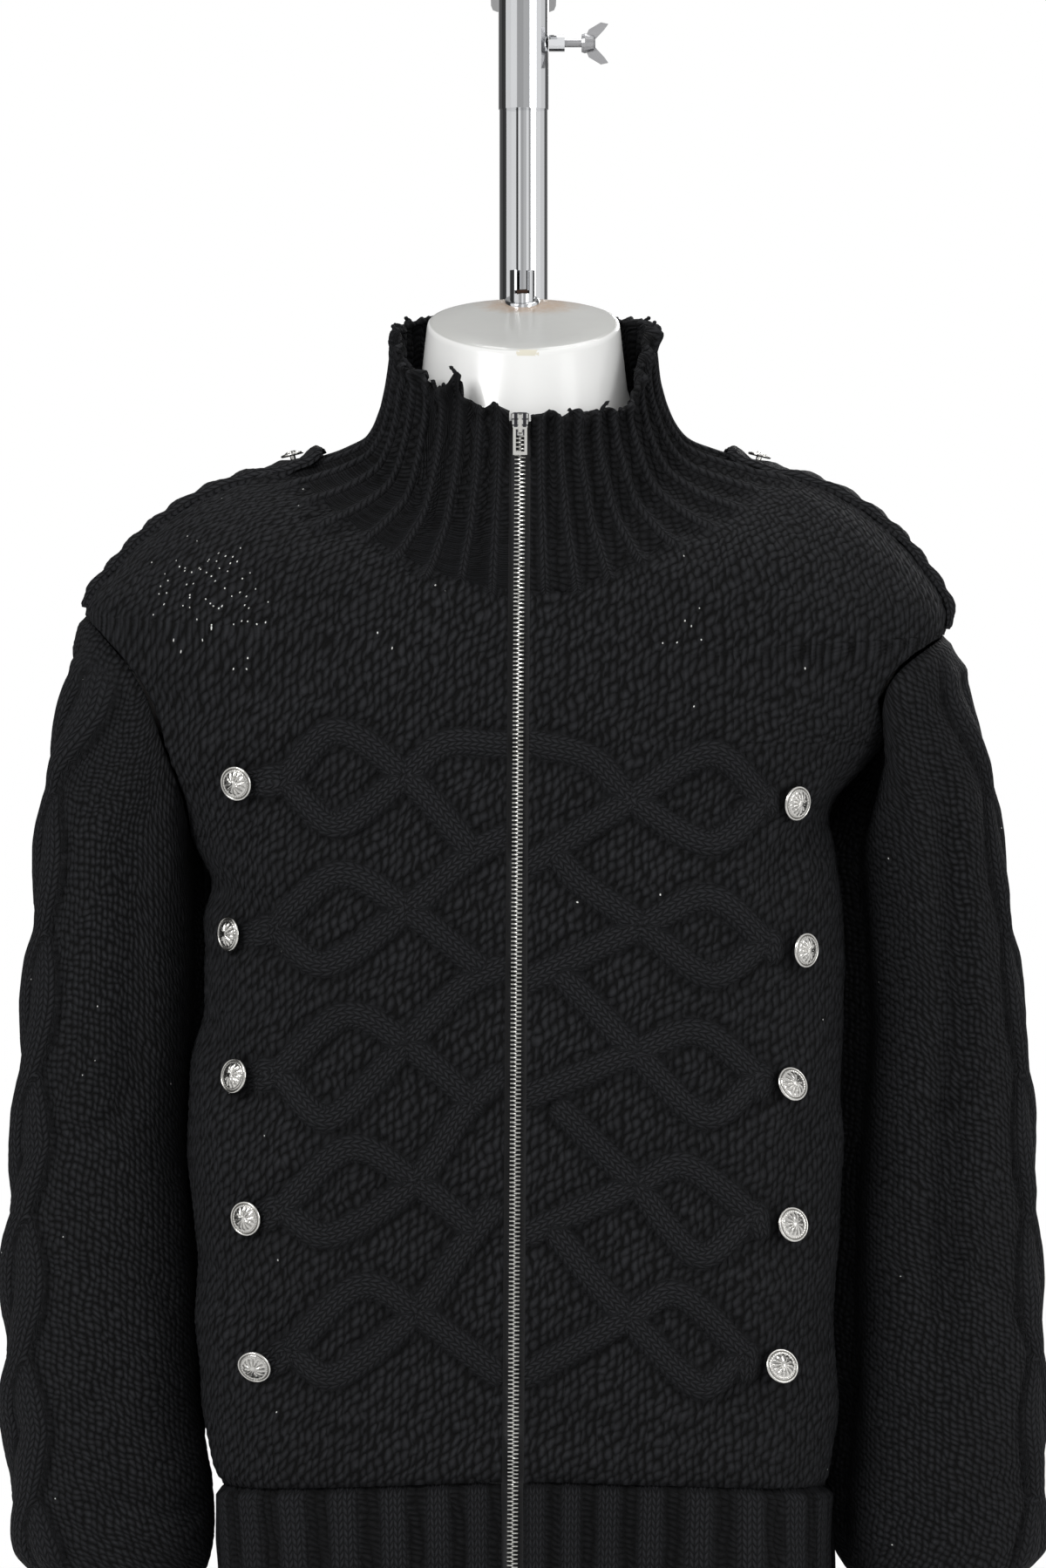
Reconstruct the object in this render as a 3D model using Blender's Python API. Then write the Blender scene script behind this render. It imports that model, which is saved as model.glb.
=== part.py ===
# A knitted zip jacket with a cable lattice and two rows of domed buttons, on a
# limbless torso form that hangs by a rod from the arm of a floor stand.
# Metres, +Z up. The zip faces -Y, and left means the -X side as it is looked at.
import math

import bmesh
import bpy
from mathutils import Matrix, Vector
from mathutils.geometry import delaunay_2d_cdt

GAP = 0.0003  # between pieces that meet
ARMHOLE_GAP = 0.0009  # wider, because a sleeve's edge has other corners than its armhole's
WALL = 0.0034  # knitted cloth
SHOULDER_ALONG = 0.745  # rings above this one run over the shoulders
SHOULDER_STEP = 0.024
SIDE = math.pi / 2  # the angle of a side seam, from the zip

HEM_END = 0.128
HEM_TOP = 0.212
NECKLINE = 0.870  # the ring where the collar's ribs end
COLLAR_END = 1.0

# The body's rings from hem to collar. "along" runs up the cloth; a ring's side,
# front and back points may lie at different heights, as on a shoulder.
BODY_COLUMNS = (
    "along", "left", "right", "front", "back", "side_z", "front_z", "back_z", "square", "middle",
)
BODY_ROWS = (
    (0.128, 0.186, 0.189, 0.117, 0.104, 0.128, 0.138, 0.128, 3.0, 0.000),
    (0.212, 0.187, 0.188, 0.119, 0.106, 0.212, 0.222, 0.212, 3.0, 0.000),
    (0.228, 0.193, 0.190, 0.124, 0.109, 0.228, 0.236, 0.228, 3.0, 0.000),
    (0.265, 0.199, 0.195, 0.129, 0.111, 0.265, 0.269, 0.265, 3.0, 0.000),
    (0.310, 0.200, 0.192, 0.132, 0.111, 0.310, 0.310, 0.310, 3.0, 0.000),
    (0.380, 0.204, 0.196, 0.135, 0.110, 0.380, 0.380, 0.380, 2.9, 0.000),
    (0.430, 0.207, 0.198, 0.137, 0.109, 0.430, 0.430, 0.430, 2.9, 0.000),
    (0.480, 0.203, 0.198, 0.138, 0.110, 0.480, 0.480, 0.480, 2.8, 0.000),
    (0.565, 0.195, 0.197, 0.139, 0.114, 0.565, 0.565, 0.565, 2.8, 0.000),
    (0.620, 0.208, 0.192, 0.138, 0.118, 0.620, 0.620, 0.620, 2.7, 0.000),
    (0.690, 0.256, 0.238, 0.136, 0.121, 0.690, 0.690, 0.690, 2.5, 0.000),
    (0.750, 0.271, 0.267, 0.132, 0.120, 0.750, 0.722, 0.735, 2.4, 0.000),
    (0.785, 0.250, 0.249, 0.129, 0.117, 0.783, 0.736, 0.760, 2.3, -0.002),
    (0.820, 0.216, 0.216, 0.126, 0.111, 0.813, 0.746, 0.785, 2.2, -0.004),
    (0.845, 0.180, 0.180, 0.121, 0.103, 0.831, 0.754, 0.806, 2.1, -0.007),
    (0.870, 0.140, 0.141, 0.114, 0.093, 0.841, 0.762, 0.826, 2.1, -0.011),
    (0.890, 0.112, 0.114, 0.106, 0.083, 0.848, 0.777, 0.846, 2.05, -0.017),
    (0.905, 0.095, 0.097, 0.096, 0.076, 0.857, 0.793, 0.861, 2.0, -0.023),
    (0.925, 0.086, 0.087, 0.087, 0.070, 0.873, 0.814, 0.878, 2.0, -0.029),
    (0.950, 0.081, 0.081, 0.079, 0.066, 0.893, 0.835, 0.901, 2.0, -0.033),
    (0.975, 0.0785, 0.0785, 0.075, 0.064, 0.914, 0.856, 0.923, 2.0, -0.035),
    (1.000, 0.0770, 0.0770, 0.073, 0.063, 0.936, 0.876, 0.945, 2.0, -0.036),
    (1.040, 0.0760, 0.0760, 0.072, 0.062, 0.972, 0.912, 0.981, 2.0, -0.038),
)
RING_DIP = 1.5  # how fast a ring leaves its side height towards the front

# The sleeves' outlines, seen from the front, with their depths before and behind.
SLEEVE_COLUMNS = ("z", "outer", "inner", "front", "back")
SLEEVE_ROWS = {
    "left": (
        (0.085, 0.297, 0.207, 0.044, 0.040),
        (0.140, 0.298, 0.206, 0.045, 0.041),
        (0.150, 0.301, 0.204, 0.048, 0.043),
        (0.162, 0.308, 0.199, 0.053, 0.047),
        (0.180, 0.3145, 0.1955, 0.057, 0.051),
        (0.210, 0.3180, 0.1965, 0.059, 0.052),
        (0.250, 0.3205, 0.2012, 0.060, 0.052),
        (0.330, 0.3205, 0.2035, 0.059, 0.052),
        (0.380, 0.3180, 0.2050, 0.058, 0.052),
        (0.430, 0.3140, 0.2085, 0.057, 0.053),
        (0.500, 0.3090, 0.2050, 0.058, 0.054),
        (0.560, 0.3045, 0.2035, 0.060, 0.056),
        (0.620, 0.2975, 0.2070, 0.065, 0.060),
        (0.660, 0.2915, 0.2080, 0.068, 0.063),
        (0.700, 0.2860, 0.2080, 0.070, 0.064),
        (0.750, 0.2720, 0.2080, 0.070, 0.064),
    ),
    "right": (
        (0.085, 0.302, 0.212, 0.044, 0.040),
        (0.140, 0.303, 0.211, 0.045, 0.041),
        (0.150, 0.307, 0.209, 0.048, 0.043),
        (0.162, 0.314, 0.204, 0.053, 0.047),
        (0.180, 0.3185, 0.2005, 0.057, 0.051),
        (0.210, 0.3190, 0.2015, 0.059, 0.052),
        (0.250, 0.3182, 0.2040, 0.060, 0.052),
        (0.330, 0.3172, 0.2062, 0.059, 0.052),
        (0.380, 0.3150, 0.2073, 0.058, 0.052),
        (0.445, 0.3135, 0.2116, 0.057, 0.053),
        (0.500, 0.3090, 0.2150, 0.058, 0.054),
        (0.560, 0.3020, 0.2120, 0.060, 0.056),
        (0.620, 0.2935, 0.2030, 0.065, 0.060),
        (0.660, 0.2865, 0.1960, 0.068, 0.063),
        (0.700, 0.2790, 0.1930, 0.070, 0.064),
        (0.750, 0.2690, 0.1930, 0.070, 0.064),
    ),
}
SLEEVE_SQUARE = 2.2
SLEEVE_ROWS_OUTER = 30
SLEEVE_ROWS_INNER = 7
# How far each sleeve's hind inner side swings in behind the body.
TUCK_COLUMNS = ("z", "in")
TUCK_ROWS = {
    "left": (
        (0.085, 0.0), (0.230, 0.0), (0.270, 0.0075), (0.330, 0.0090), (0.430, 0.0080),
        (0.500, 0.0095), (0.560, 0.0140), (0.600, 0.0100), (0.630, 0.0),
    ),
    "right": (
        (0.085, 0.004), (0.150, 0.009), (0.190, 0.0165), (0.250, 0.0185), (0.330, 0.0205),
        (0.445, 0.0200), (0.500, 0.0230), (0.560, 0.0205), (0.620, 0.0190), (0.655, 0.0150), (0.690, 0.0),
    ),
}
TUCK_DEPTH = 0.030  # how far behind the side the tuck is full
# Long soft troughs in the sleeves: round the sleeve at the low and the high end, from
# and to a height, how deep and how wide. The first of each sleeve is its main crease.
FOLD_COLUMNS = ("turn_low", "turn_high", "low", "high", "deep", "half")
FOLD_ROWS = {
    "left": (
        (1.95, 1.70, 0.420, 0.690, 0.006, 0.22),
        (4.20, 4.60, 0.380, 0.640, 0.007, 0.34),
    ),
    "right": (
        (1.78, 1.20, 0.230, 0.715, 0.014, 0.20),
        (4.50, 4.20, 0.330, 0.660, 0.008, 0.34),
    ),
}
CUFF_TOP = 0.150
CUFF_END = 0.085

# Each armhole on the body's cloth: its lowest and highest ring, and how far it
# reaches round to the front and the back.
ARMHOLE = {
    "left": {"sign": -1, "under": 0.612, "top": 0.750, "front": 0.34, "back": 0.37},
    "right": {"sign": 1, "under": 0.668, "top": 0.737, "front": 0.32, "back": 0.35},
}
SIGN = {"left": -1, "right": 1}

# The cable lattice beside the zip, a row for each button: millimetres out from the zip
# line and up from the floor. Two strands leave a button at its neck, one over the top
# and one under the bottom of a lens, and meet; then one falls and one rises to the zip.
LATTICE_COLUMNS = (
    "button_out", "button_z", "neck_out", "neck_z", "top_out", "top_z", "bottom_out", "bottom_z",
    "meet_out", "meet_z", "mid_out", "mid_z", "rise_out", "rise_z", "fall_out", "fall_z",
)
LATTICE_ROWS = {
    "left": (
        (171.5, 645.5, 141, 647, 110, 676, 109, 620, 68, 650, 43, 669, 9, 668, 26, 603),
        (175.0, 553.5, 148, 557, 108, 590, 115, 536, 66, 569, 30, 600, 9, 612, 25, 536),
        (172.0, 467.0, 144, 470, 104, 505, 112, 443, 66, 488, 34, 521, 10, 534, 25, 453),
        (165.5, 382.0, 140, 388, 100, 425, 111, 372, 60, 405, 33, 445, 12, 468, 24, 376),
        (161.5, 293.5, 136, 301, 94, 341, 108, 287, 59, 326, 33, 363, 14, 388, 12, 290),
    ),
    "right": (
        (162.5, 633.5, 148, 636, 116, 663, 116, 609, 69, 636, 44, 660, 9, 669, 9, 597),
        (167.5, 544.0, 150, 549, 116, 576, 117, 529, 75, 559, 40, 584, 26, 599, 9, 527),
        (160.0, 461.0, 146, 467, 110, 495, 114, 444, 72, 483, 51, 505, 28, 529, 9, 457),
        (160.5, 376.5, 142, 384, 103, 414, 111, 360, 73, 403, 52, 424, 29, 447, 10, 374),
        (154.5, 289.5, 138, 300, 99, 336, 112, 281, 69, 323, 52, 341, 22, 378, 10, 289),
    ),
}
STRAND_HALF = 0.0080
STRAND_CROWN = 0.0046  # half of its rounded top
STRAND_HEIGHT = 0.0038
STRAND_STEP = 0.0165
STRAND_START = 13  # millimetres from a button's middle to where its strands begin
ZIP_TOP_X = -0.0020
ZIP_LEAN = 0.0068  # how far the zip wanders to the left for each metre down

# Where the ragged collar ends, along the cloth, at angles from the zip.
COLLAR_COLUMNS = ("angle", "end")
COLLAR_END_ROWS = (
    (-180, 0.998), (-150, 1.002), (-128, 0.999), (-108, 0.995), (-92, 0.990), (-84, 0.991),
    (-76, 0.980), (-66, 0.974), (-58, 0.966), (-50, 0.984), (-43, 0.990), (-36, 1.002),
    (-30, 0.996), (-22, 1.000), (-13, 1.004), (-6, 0.996), (4, 0.996), (12, 0.998),
    (25, 0.994), (40, 0.978), (50, 0.968), (60, 0.975), (70, 0.984), (80, 0.992),
    (90, 0.990), (108, 0.996), (130, 1.000), (155, 0.995), (180, 0.998),
)
COLLAR_RIBS = 38
COLLAR_RIB_HEIGHT = 0.0036
HEM_RIBS = 34
HEM_RIB_HEIGHT = 0.0032
CUFF_RIBS = 12

ROPE_PERIOD = 0.087  # one crossing of the sleeve's cable to the next
ROPE_LEVEL = 0.6418
ROPE_SWING = 0.0125
ROPE_STRAND = 0.0120  # half a strand's width
ROPE_HEIGHT = 0.0055
SLEEVE_GIRTH = 0.058  # turns an angle round a sleeve into a length
ROPE_ANGLE = {"left": 0.62, "right": 0.30}  # round the sleeve from its outer side to the front

BUTTON_RADIUS = 0.0108
BUTTON_SEAT = 0.0055  # the plain cloth round a button's shank
STRAP_BUTTON_RADIUS = 0.0072
EPAULETTE_HALF = 0.023
EPAULETTE_THICK = 0.0038

FORM_LOW = 0.108
FORM_TOP = 0.978
NECK_TILT = 0.36  # rise of the neck's cap for each metre towards the back

CAP_Z = 0.930  # the neck's cap where CAP_Y is
CAP_Y = -0.030

ROD_RADIUS = 0.0046
ROD_TOP = 1.136
SOCKET_FLANGE = 0.0099
SOCKET_FLANGE_THICK = 0.0030
SOCKET_RADIUS = 0.0075
SOCKET_HEIGHT = 0.0235
SOCKET_SLOT = (-0.0035, 0.0025)  # across its front
SOCKET_SLOT_LOW = 0.0090  # above the socket's foot
TUBE_RADIUS = 0.0155
TUBE_LOW = 1.063
TUBE_TOP = 1.190
ARM_LOW = 1.144
ARM_TOP = 1.176
ARM_HALF = 0.021
ARM_OVER = 0.023  # how far the arm reaches past the tube's and the column's middle
ARM_BEVEL = 0.004
COLUMN_Y = 0.187
COLUMN_FLANGE = 0.036
BASE_TOP = 0.010
BASE_HALF_X = 0.200
BASE_HALF_Y = 0.2255
BASE_CORNER = 0.035
CLAMP_Z = 1.104
BOLT_RADIUS = 0.0025
BOSS_RADIUS = 0.0052
BOSS_END = 0.0255
WING_HUB = 0.0360
WING_END = 0.0445
WING_THICK = 0.0022

ZIP_OPEN = 0.0066  # from the zip line to the cloth's edge
ZIP_LOW = 0.130
ZIP_HIGH = 0.990
ZIP_HEAD = 0.988  # the slider's place along the cloth
STRAP_START = 0.882
STRAP_ROWS = 21
STRAP_BUTTON_PART = 0.10
SLEEVE_BLEND = 0.085  # how far below the armhole a sleeve takes up its own outline
FLAT_GIRTH = 0.16  # turns an angle into a length when a panel is laid out flat
SEAM_REACH = 0.19  # the side seams' least distance from the body's middle
CORNER_CLEAR = 0.03  # the least angle between a panel's corner and a rib's groove


class Table:
    """Rows with named columns, read between rows along smooth curves that never overshoot."""

    def __init__(self, columns, rows):
        self.places = [row[0] for row in rows]
        self.columns = {
            name: [row[index] for row in rows] for index, name in enumerate(columns) if index
        }
        self.slopes = {name: self.slopes_of(values) for name, values in self.columns.items()}

    def slopes_of(self, values):
        steps = [
            (values[i + 1] - values[i]) / (self.places[i + 1] - self.places[i])
            for i in range(len(values) - 1)
        ]
        inner = [
            2 * before * after / (before + after) if before * after > 0 else 0
            for before, after in zip(steps, steps[1:])
        ]
        return [steps[0], *inner, steps[-1]]

    def at(self, name, place):
        places, values, slopes = self.places, self.columns[name], self.slopes[name]
        place = min(max(place, places[0]), places[-1])
        low = 0
        while low < len(places) - 2 and place > places[low + 1]:
            low += 1
        span = places[low + 1] - places[low]
        part = (place - places[low]) / span
        rest = 1 - part
        return (
            values[low] * rest * rest * (1 + 2 * part)
            + values[low + 1] * part * part * (1 + 2 * rest)
            + slopes[low] * span * part * rest * rest
            - slopes[low + 1] * span * rest * part * part
        )


BODY = Table(BODY_COLUMNS, BODY_ROWS)
SLEEVE = {side: Table(SLEEVE_COLUMNS, rows) for side, rows in SLEEVE_ROWS.items()}
TUCK = {side: Table(TUCK_COLUMNS, rows) for side, rows in TUCK_ROWS.items()}
COLLAR_EDGE = Table(COLLAR_COLUMNS, COLLAR_END_ROWS)
LATTICE = {
    side: [dict(zip(LATTICE_COLUMNS, row)) for row in rows] for side, rows in LATTICE_ROWS.items()
}
FOLDS = {side: [dict(zip(FOLD_COLUMNS, row)) for row in rows] for side, rows in FOLD_ROWS.items()}


# ---- surfaces

def ring_radius(angle, side, depth, square):
    across = abs(math.sin(angle) / side) ** square + abs(math.cos(angle) / depth) ** square
    return across ** (-1 / square)


def body_skin(angle, along):
    """A point of the body's outer cloth, without its relief."""
    facing = math.cos(angle)
    side = BODY.at("right" if math.sin(angle) > 0 else "left", along)
    depth = BODY.at("front" if facing > 0 else "back", along)
    level = BODY.at("front_z" if facing > 0 else "back_z", along)
    side_z = BODY.at("side_z", along)
    radius = ring_radius(angle, side, depth, BODY.at("square", along))
    lift = abs(facing) ** RING_DIP
    return Vector((
        radius * math.sin(angle),
        BODY.at("middle", along) - radius * facing,
        side_z + (level - side_z) * lift,
    ))


def body_normal(angle, along):
    step = 0.002
    round_it = body_skin(angle + step * 2, along) - body_skin(angle - step * 2, along)
    up_it = body_skin(angle, along + step) - body_skin(angle, along - step)
    return round_it.cross(up_it).normalized()


def body_point(angle, along, out=0.0):
    return body_skin(angle, along) + body_normal(angle, along) * out


def angle_at(across, along):
    """The angle where the body's front stands this far from the middle."""
    side = BODY.at("right" if across > 0 else "left", along)
    square = BODY.at("square", along)
    share = min(abs(across) / side, 0.999)
    depth = BODY.at("front", along) * (1 - share ** square) ** (1 / square)
    return math.atan2(across, depth)


def zip_x(z):
    return ZIP_TOP_X - ZIP_LEAN * (0.876 - z)


def armhole_place(side, turn):
    """Angle and ring of an armhole's edge; turn 0 is its top, a quarter its front."""
    hole = ARMHOLE[side]
    middle = (hole["under"] + hole["top"]) / 2
    half = (hole["top"] - hole["under"]) / 2
    reach = hole["front"] if math.sin(turn) > 0 else hole["back"]
    angle = SIDE - reach * math.sin(turn)
    return hole["sign"] * angle, middle + half * math.cos(turn)


def sleeve_skin(side, turn, z):
    """A point of a sleeve's outer cloth; turn 0 is its outer side, a quarter its front."""
    table = SLEEVE[side]
    outer = table.at("outer", z)
    inner = table.at("inner", z)
    depth = table.at("front" if math.sin(turn) > 0 else "back", z)
    half = (outer - inner) / 2
    radius = ring_radius(turn, depth, half, SLEEVE_SQUARE)
    across = (outer + inner) / 2 + radius * math.cos(turn)
    behind = -radius * math.sin(turn)
    if math.cos(turn) < 0:
        across -= TUCK[side].at("in", z) * smooth(behind / TUCK_DEPTH)
    fold = sleeve_fold(side, turn, z)
    inward = Vector((-SIGN[side] * math.cos(turn), math.sin(turn), 0))
    return Vector((SIGN[side] * across, behind, z)) + inward * fold


def smooth(part):
    part = min(max(part, 0), 1)
    return part * part * (3 - 2 * part)


def fold_centre(fold, z):
    """How far up a fold this height lies, and the turn of its trough there."""
    part = min(max((z - fold["low"]) / (fold["high"] - fold["low"]), 0), 1)
    return part, fold["turn_low"] + (fold["turn_high"] - fold["turn_low"]) * part


def sleeve_fold(side, turn, z):
    total = 0
    for fold in FOLDS[side]:
        part, centre = fold_centre(fold, z)
        off = (turn % (2 * math.pi) - centre) / fold["half"]
        fade = smooth(4 * part) * smooth(4 * (1 - part))
        total += fold["deep"] * math.exp(-off * off) * fade
    return total


def sleeve_normal(side, turn, z):
    step = 0.003
    round_it = sleeve_skin(side, turn + step * 6, z) - sleeve_skin(side, turn - step * 6, z)
    up_it = sleeve_skin(side, turn, z + step) - sleeve_skin(side, turn, z - step)
    return (round_it.cross(up_it) * SIGN[side] * -1).normalized()


# ---- relief

def segment_distance(point, start, end):
    run = end - start
    part = max(0, min(1, (point - start).dot(run) / run.length_squared))
    return (point - start - run * part).length


def curve_through(points, step):
    """Points spaced by step along a smooth curve through the given ones."""
    knots = [points[0] * 2 - points[1], *points, points[-1] * 2 - points[-2]]
    run = []
    for before, start, end, after in zip(knots, knots[1:], knots[2:], knots[3:]):
        count = max(1, round((end - start).length / step))
        for index in range(count):
            t = index / count
            run.append(0.5 * (
                2 * start + (end - before) * t
                + (2 * before - 5 * start + 4 * end - after) * t * t
                + (3 * start - before - 3 * end + after) * t ** 3
            ))
    run.append(points[-1].copy())
    return run


def lattice_strands(side):
    """The cable strands of one front, as runs of (x, z) seen from the front."""
    strands = []
    for row in LATTICE[side]:
        for names in (("top", "meet", "fall"), ("bottom", "meet", "mid", "rise")):
            outs = [row["button_out"] - STRAND_START, row["neck_out"]]
            outs += [row[f"{name}_out"] for name in names]
            levels = [row["button_z"], row["neck_z"]] + [row[f"{name}_z"] for name in names]
            points = []
            for out, level in zip(outs, levels):
                z = level / 1000
                points.append(Vector((zip_x(z) + SIGN[side] * out / 1000, z)))
            strands.append(curve_through(points, STRAND_STEP))
    return strands


def button_places(side):
    rows = LATTICE[side]
    return [(SIGN[side] * row["button_out"] / 1000, row["button_z"] / 1000) for row in rows]


def strand_profile(off, half, crown, height):
    """A strand's height at a distance from its middle: a low crown with steep sides."""
    off = abs(off)
    if off >= half:
        return 0
    if off > crown:
        return height * 0.82 * (half - off) / (half - crown)
    return height * (1 - 0.18 * (off / crown) ** 2)


def lattice_relief(side, strands):
    """How far a front's cloth stands out at a point seen from the front."""
    pieces = [piece for run in strands for piece in zip(run, run[1:])]
    buttons = [Vector(place) for place in button_places(side)]

    def relief(x, z):
        point = Vector((x, z))
        near = [piece for piece in pieces if (piece[0] - point).length < 0.03]
        off = min((segment_distance(point, *piece) for piece in near), default=1)
        clear = min((point - place).length for place in buttons)
        fade = smooth((clear - BUTTON_SEAT) / 0.008)
        return fade * strand_profile(off, STRAND_HALF, STRAND_CROWN, STRAND_HEIGHT)

    return relief


def rope_relief(side, turn, z):
    """Two strands of a rope that cross once each period, on the sleeve's outer side."""
    off = (turn - ROPE_ANGLE[side] + math.pi) % (2 * math.pi) - math.pi
    off *= SLEEVE_GIRTH
    phase = (z - ROPE_LEVEL) / ROPE_PERIOD * math.pi
    swing = ROPE_SWING * math.sin(phase)
    best = max(
        strand_profile(off - centre, ROPE_STRAND, ROPE_STRAND * 0.6, ROPE_HEIGHT)
        for centre in (swing, -swing)
    )
    return best * smooth((z - CUFF_TOP - 0.004) / 0.02)


# ---- meshes

MATERIALS = {
    "black_knit": {"colour": (0.012, 0.012, 0.013), "rough": 0.95, "metal": 0.0},
    "zip_tape": {"colour": (0.010, 0.010, 0.011), "rough": 0.85, "metal": 0.0},
    "nickel": {"colour": (0.62, 0.61, 0.58), "rough": 0.28, "metal": 1.0},
    "chrome": {"colour": (0.80, 0.81, 0.82), "rough": 0.08, "metal": 1.0},
    "white_gloss": {"colour": (0.83, 0.83, 0.81), "rough": 0.30, "metal": 0.0},
}


def material(name):
    found = bpy.data.materials.get(name)
    if found:
        return found
    made = bpy.data.materials.new(name)
    made.use_nodes = True
    shader = made.node_tree.nodes["Principled BSDF"]
    look = MATERIALS[name]
    shader.inputs["Base Color"].default_value = (*look["colour"], 1)
    shader.inputs["Roughness"].default_value = look["rough"]
    shader.inputs["Metallic"].default_value = look["metal"]
    return made


def finish(name, mesh_work, look, origin=None, sharp=40):
    """Makes the object; with an origin, its mesh is kept about that point."""
    bmesh.ops.recalc_face_normals(mesh_work, faces=mesh_work.faces)
    if origin is not None:
        bmesh.ops.translate(mesh_work, verts=mesh_work.verts, vec=-Vector(origin))
    mesh = bpy.data.meshes.new(name)
    mesh_work.to_mesh(mesh)
    mesh_work.free()
    mesh.shade_smooth()
    mesh.set_sharp_from_angle(angle=math.radians(sharp))
    mesh.materials.append(material(look))
    made = bpy.data.objects.new(name, mesh)
    if origin is not None:
        made.location = origin
    bpy.context.scene.collection.objects.link(made)
    return made


def quads_between(mesh_work, low, high, closed):
    count = len(low)
    for index in range(count if closed else count - 1):
        after = (index + 1) % count
        mesh_work.faces.new((low[index], low[after], high[after], high[index]))


def wall(name, outer, inner, closed, look="black_knit"):
    """A sheet with a thickness, from rows of outer points and rows of inner ones.

    The rows run the same way and hold as many points, but there may be fewer inner rows."""
    work = bmesh.new()
    outer_rows = [[work.verts.new(point) for point in row] for row in outer]
    inner_rows = [[work.verts.new(point) for point in row] for row in inner]
    for rows in (outer_rows, inner_rows):
        for low, high in zip(rows, rows[1:]):
            quads_between(work, low, high, closed)
    quads_between(work, outer_rows[0], inner_rows[0], closed)
    quads_between(work, outer_rows[-1], inner_rows[-1], closed)
    if not closed:
        for end in (0, -1):
            edge = [row[end] for row in outer_rows] + [row[end] for row in reversed(inner_rows)]
            work.faces.new(edge)
    return finish(name, work, look)


def lofted(name, sections, look, closed=False, origin=None, sharp=40):
    """A solid through loops of points, capped at both ends or closed on itself."""
    work = bmesh.new()
    loops = [[work.verts.new(point) for point in section] for section in sections]
    for low, high in zip(loops, loops[1:]):
        quads_between(work, low, high, True)
    if closed:
        quads_between(work, loops[-1], loops[0], True)
    else:
        work.faces.new(loops[0])
        work.faces.new(loops[-1])
    return finish(name, work, look, origin, sharp)


def turned(name, profile, place, axis, sides, look, origin=None, sharp=40):
    """A solid turned about an axis from (radius, height) points; a radius of 0 is a pole."""
    work = bmesh.new()
    points = [work.verts.new((radius, 0, height)) for radius, height in profile]
    edges = [work.edges.new(pair) for pair in zip(points, points[1:])]
    if profile[0][0] > 0:
        edges.append(work.edges.new((points[-1], points[0])))
    bmesh.ops.spin(
        work, geom=points + edges, cent=(0, 0, 0), axis=(0, 0, 1), angle=2 * math.pi,
        steps=sides, use_merge=True,
    )
    bmesh.ops.remove_doubles(work, verts=work.verts, dist=1e-6)
    turn = Vector((0, 0, 1)).rotation_difference(Vector(axis)).to_matrix().to_4x4()
    bmesh.ops.transform(work, matrix=Matrix.Translation(place) @ turn, verts=work.verts)
    return finish(name, work, look, origin, sharp)


def box(name, low, high, look, bevel=0.0, segments=2, edges_along=None):
    work = bmesh.new()
    bmesh.ops.create_cube(work, size=1)
    size = Vector(high) - Vector(low)
    bmesh.ops.scale(work, vec=size, verts=work.verts)
    bmesh.ops.translate(work, vec=(Vector(high) + Vector(low)) / 2, verts=work.verts)
    if bevel:
        chosen = [
            edge for edge in work.edges
            if edges_along is None
            or abs((edge.verts[0].co - edge.verts[1].co).normalized().dot(Vector(edges_along))) > 0.9
        ]
        bmesh.ops.bevel(
            work, geom=chosen, offset=bevel, segments=segments, affect="EDGES", profile=0.5,
            material=-1,
        )
    return finish(name, work, look)


# ---- panels cut from the body's cloth

def flat(angle, along):
    return Vector((angle * FLAT_GIRTH, along))


def inside(point, outline):
    hit = False
    for a, b in zip(outline, outline[1:] + outline[:1]):
        if (a.y > point.y) != (b.y > point.y):
            if point.x < a.x + (point.y - a.y) * (b.x - a.x) / (b.y - a.y):
                hit = not hit
    return hit


def edge_distance(point, outline):
    return min(segment_distance(point, a, b) for a, b in zip(outline, outline[1:] + outline[:1]))


def on_shoulder(point):
    return point.y > SHOULDER_ALONG and abs(math.sin(point.x / FLAT_GIRTH)) > 0.7


def fill_points(outline, spacing, margin, taken=(), clear=0.0):
    """Points of an even net inside an outline, clear of those taken, closer on a shoulder."""
    low_x = min(p.x for p in outline)
    high_x = max(p.x for p in outline)
    low_y = min(p.y for p in outline)
    high_y = max(p.y for p in outline)
    found = []
    for step, wanted in ((spacing, False), (min(spacing, SHOULDER_STEP), True)):
        row = 0
        y = low_y + step / 2
        while y < high_y:
            x = low_x + step * (0.25 + 0.5 * (row % 2))
            while x < high_x:
                point = Vector((x, y))
                if on_shoulder(point) == wanted and inside(point, outline):
                    if edge_distance(point, outline) > min(margin, step * 0.6):
                        if all((point - other).length > clear for other in taken):
                            found.append(point)
                x += step
            y += step * 0.866
            row += 1
    return found


def triangles(outline, runs, loose):
    """Triangulates an outline that keeps the given runs of points as edges."""
    points = list(outline)
    edges = [(index, (index + 1) % len(outline)) for index in range(len(outline))]
    for run in runs:
        start = len(points)
        points += run
        edges += [(start + index, start + index + 1) for index in range(len(run) - 1)]
    points += loose
    made, _, faces, sources, _, _ = delaunay_2d_cdt(points, edges, [], 1, 1e-5)
    border = {}
    for index, source in enumerate(sources):
        for number in source:
            if number < len(outline):
                border[number] = index
    return made, faces, [border[number] for number in range(len(outline))]


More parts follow.
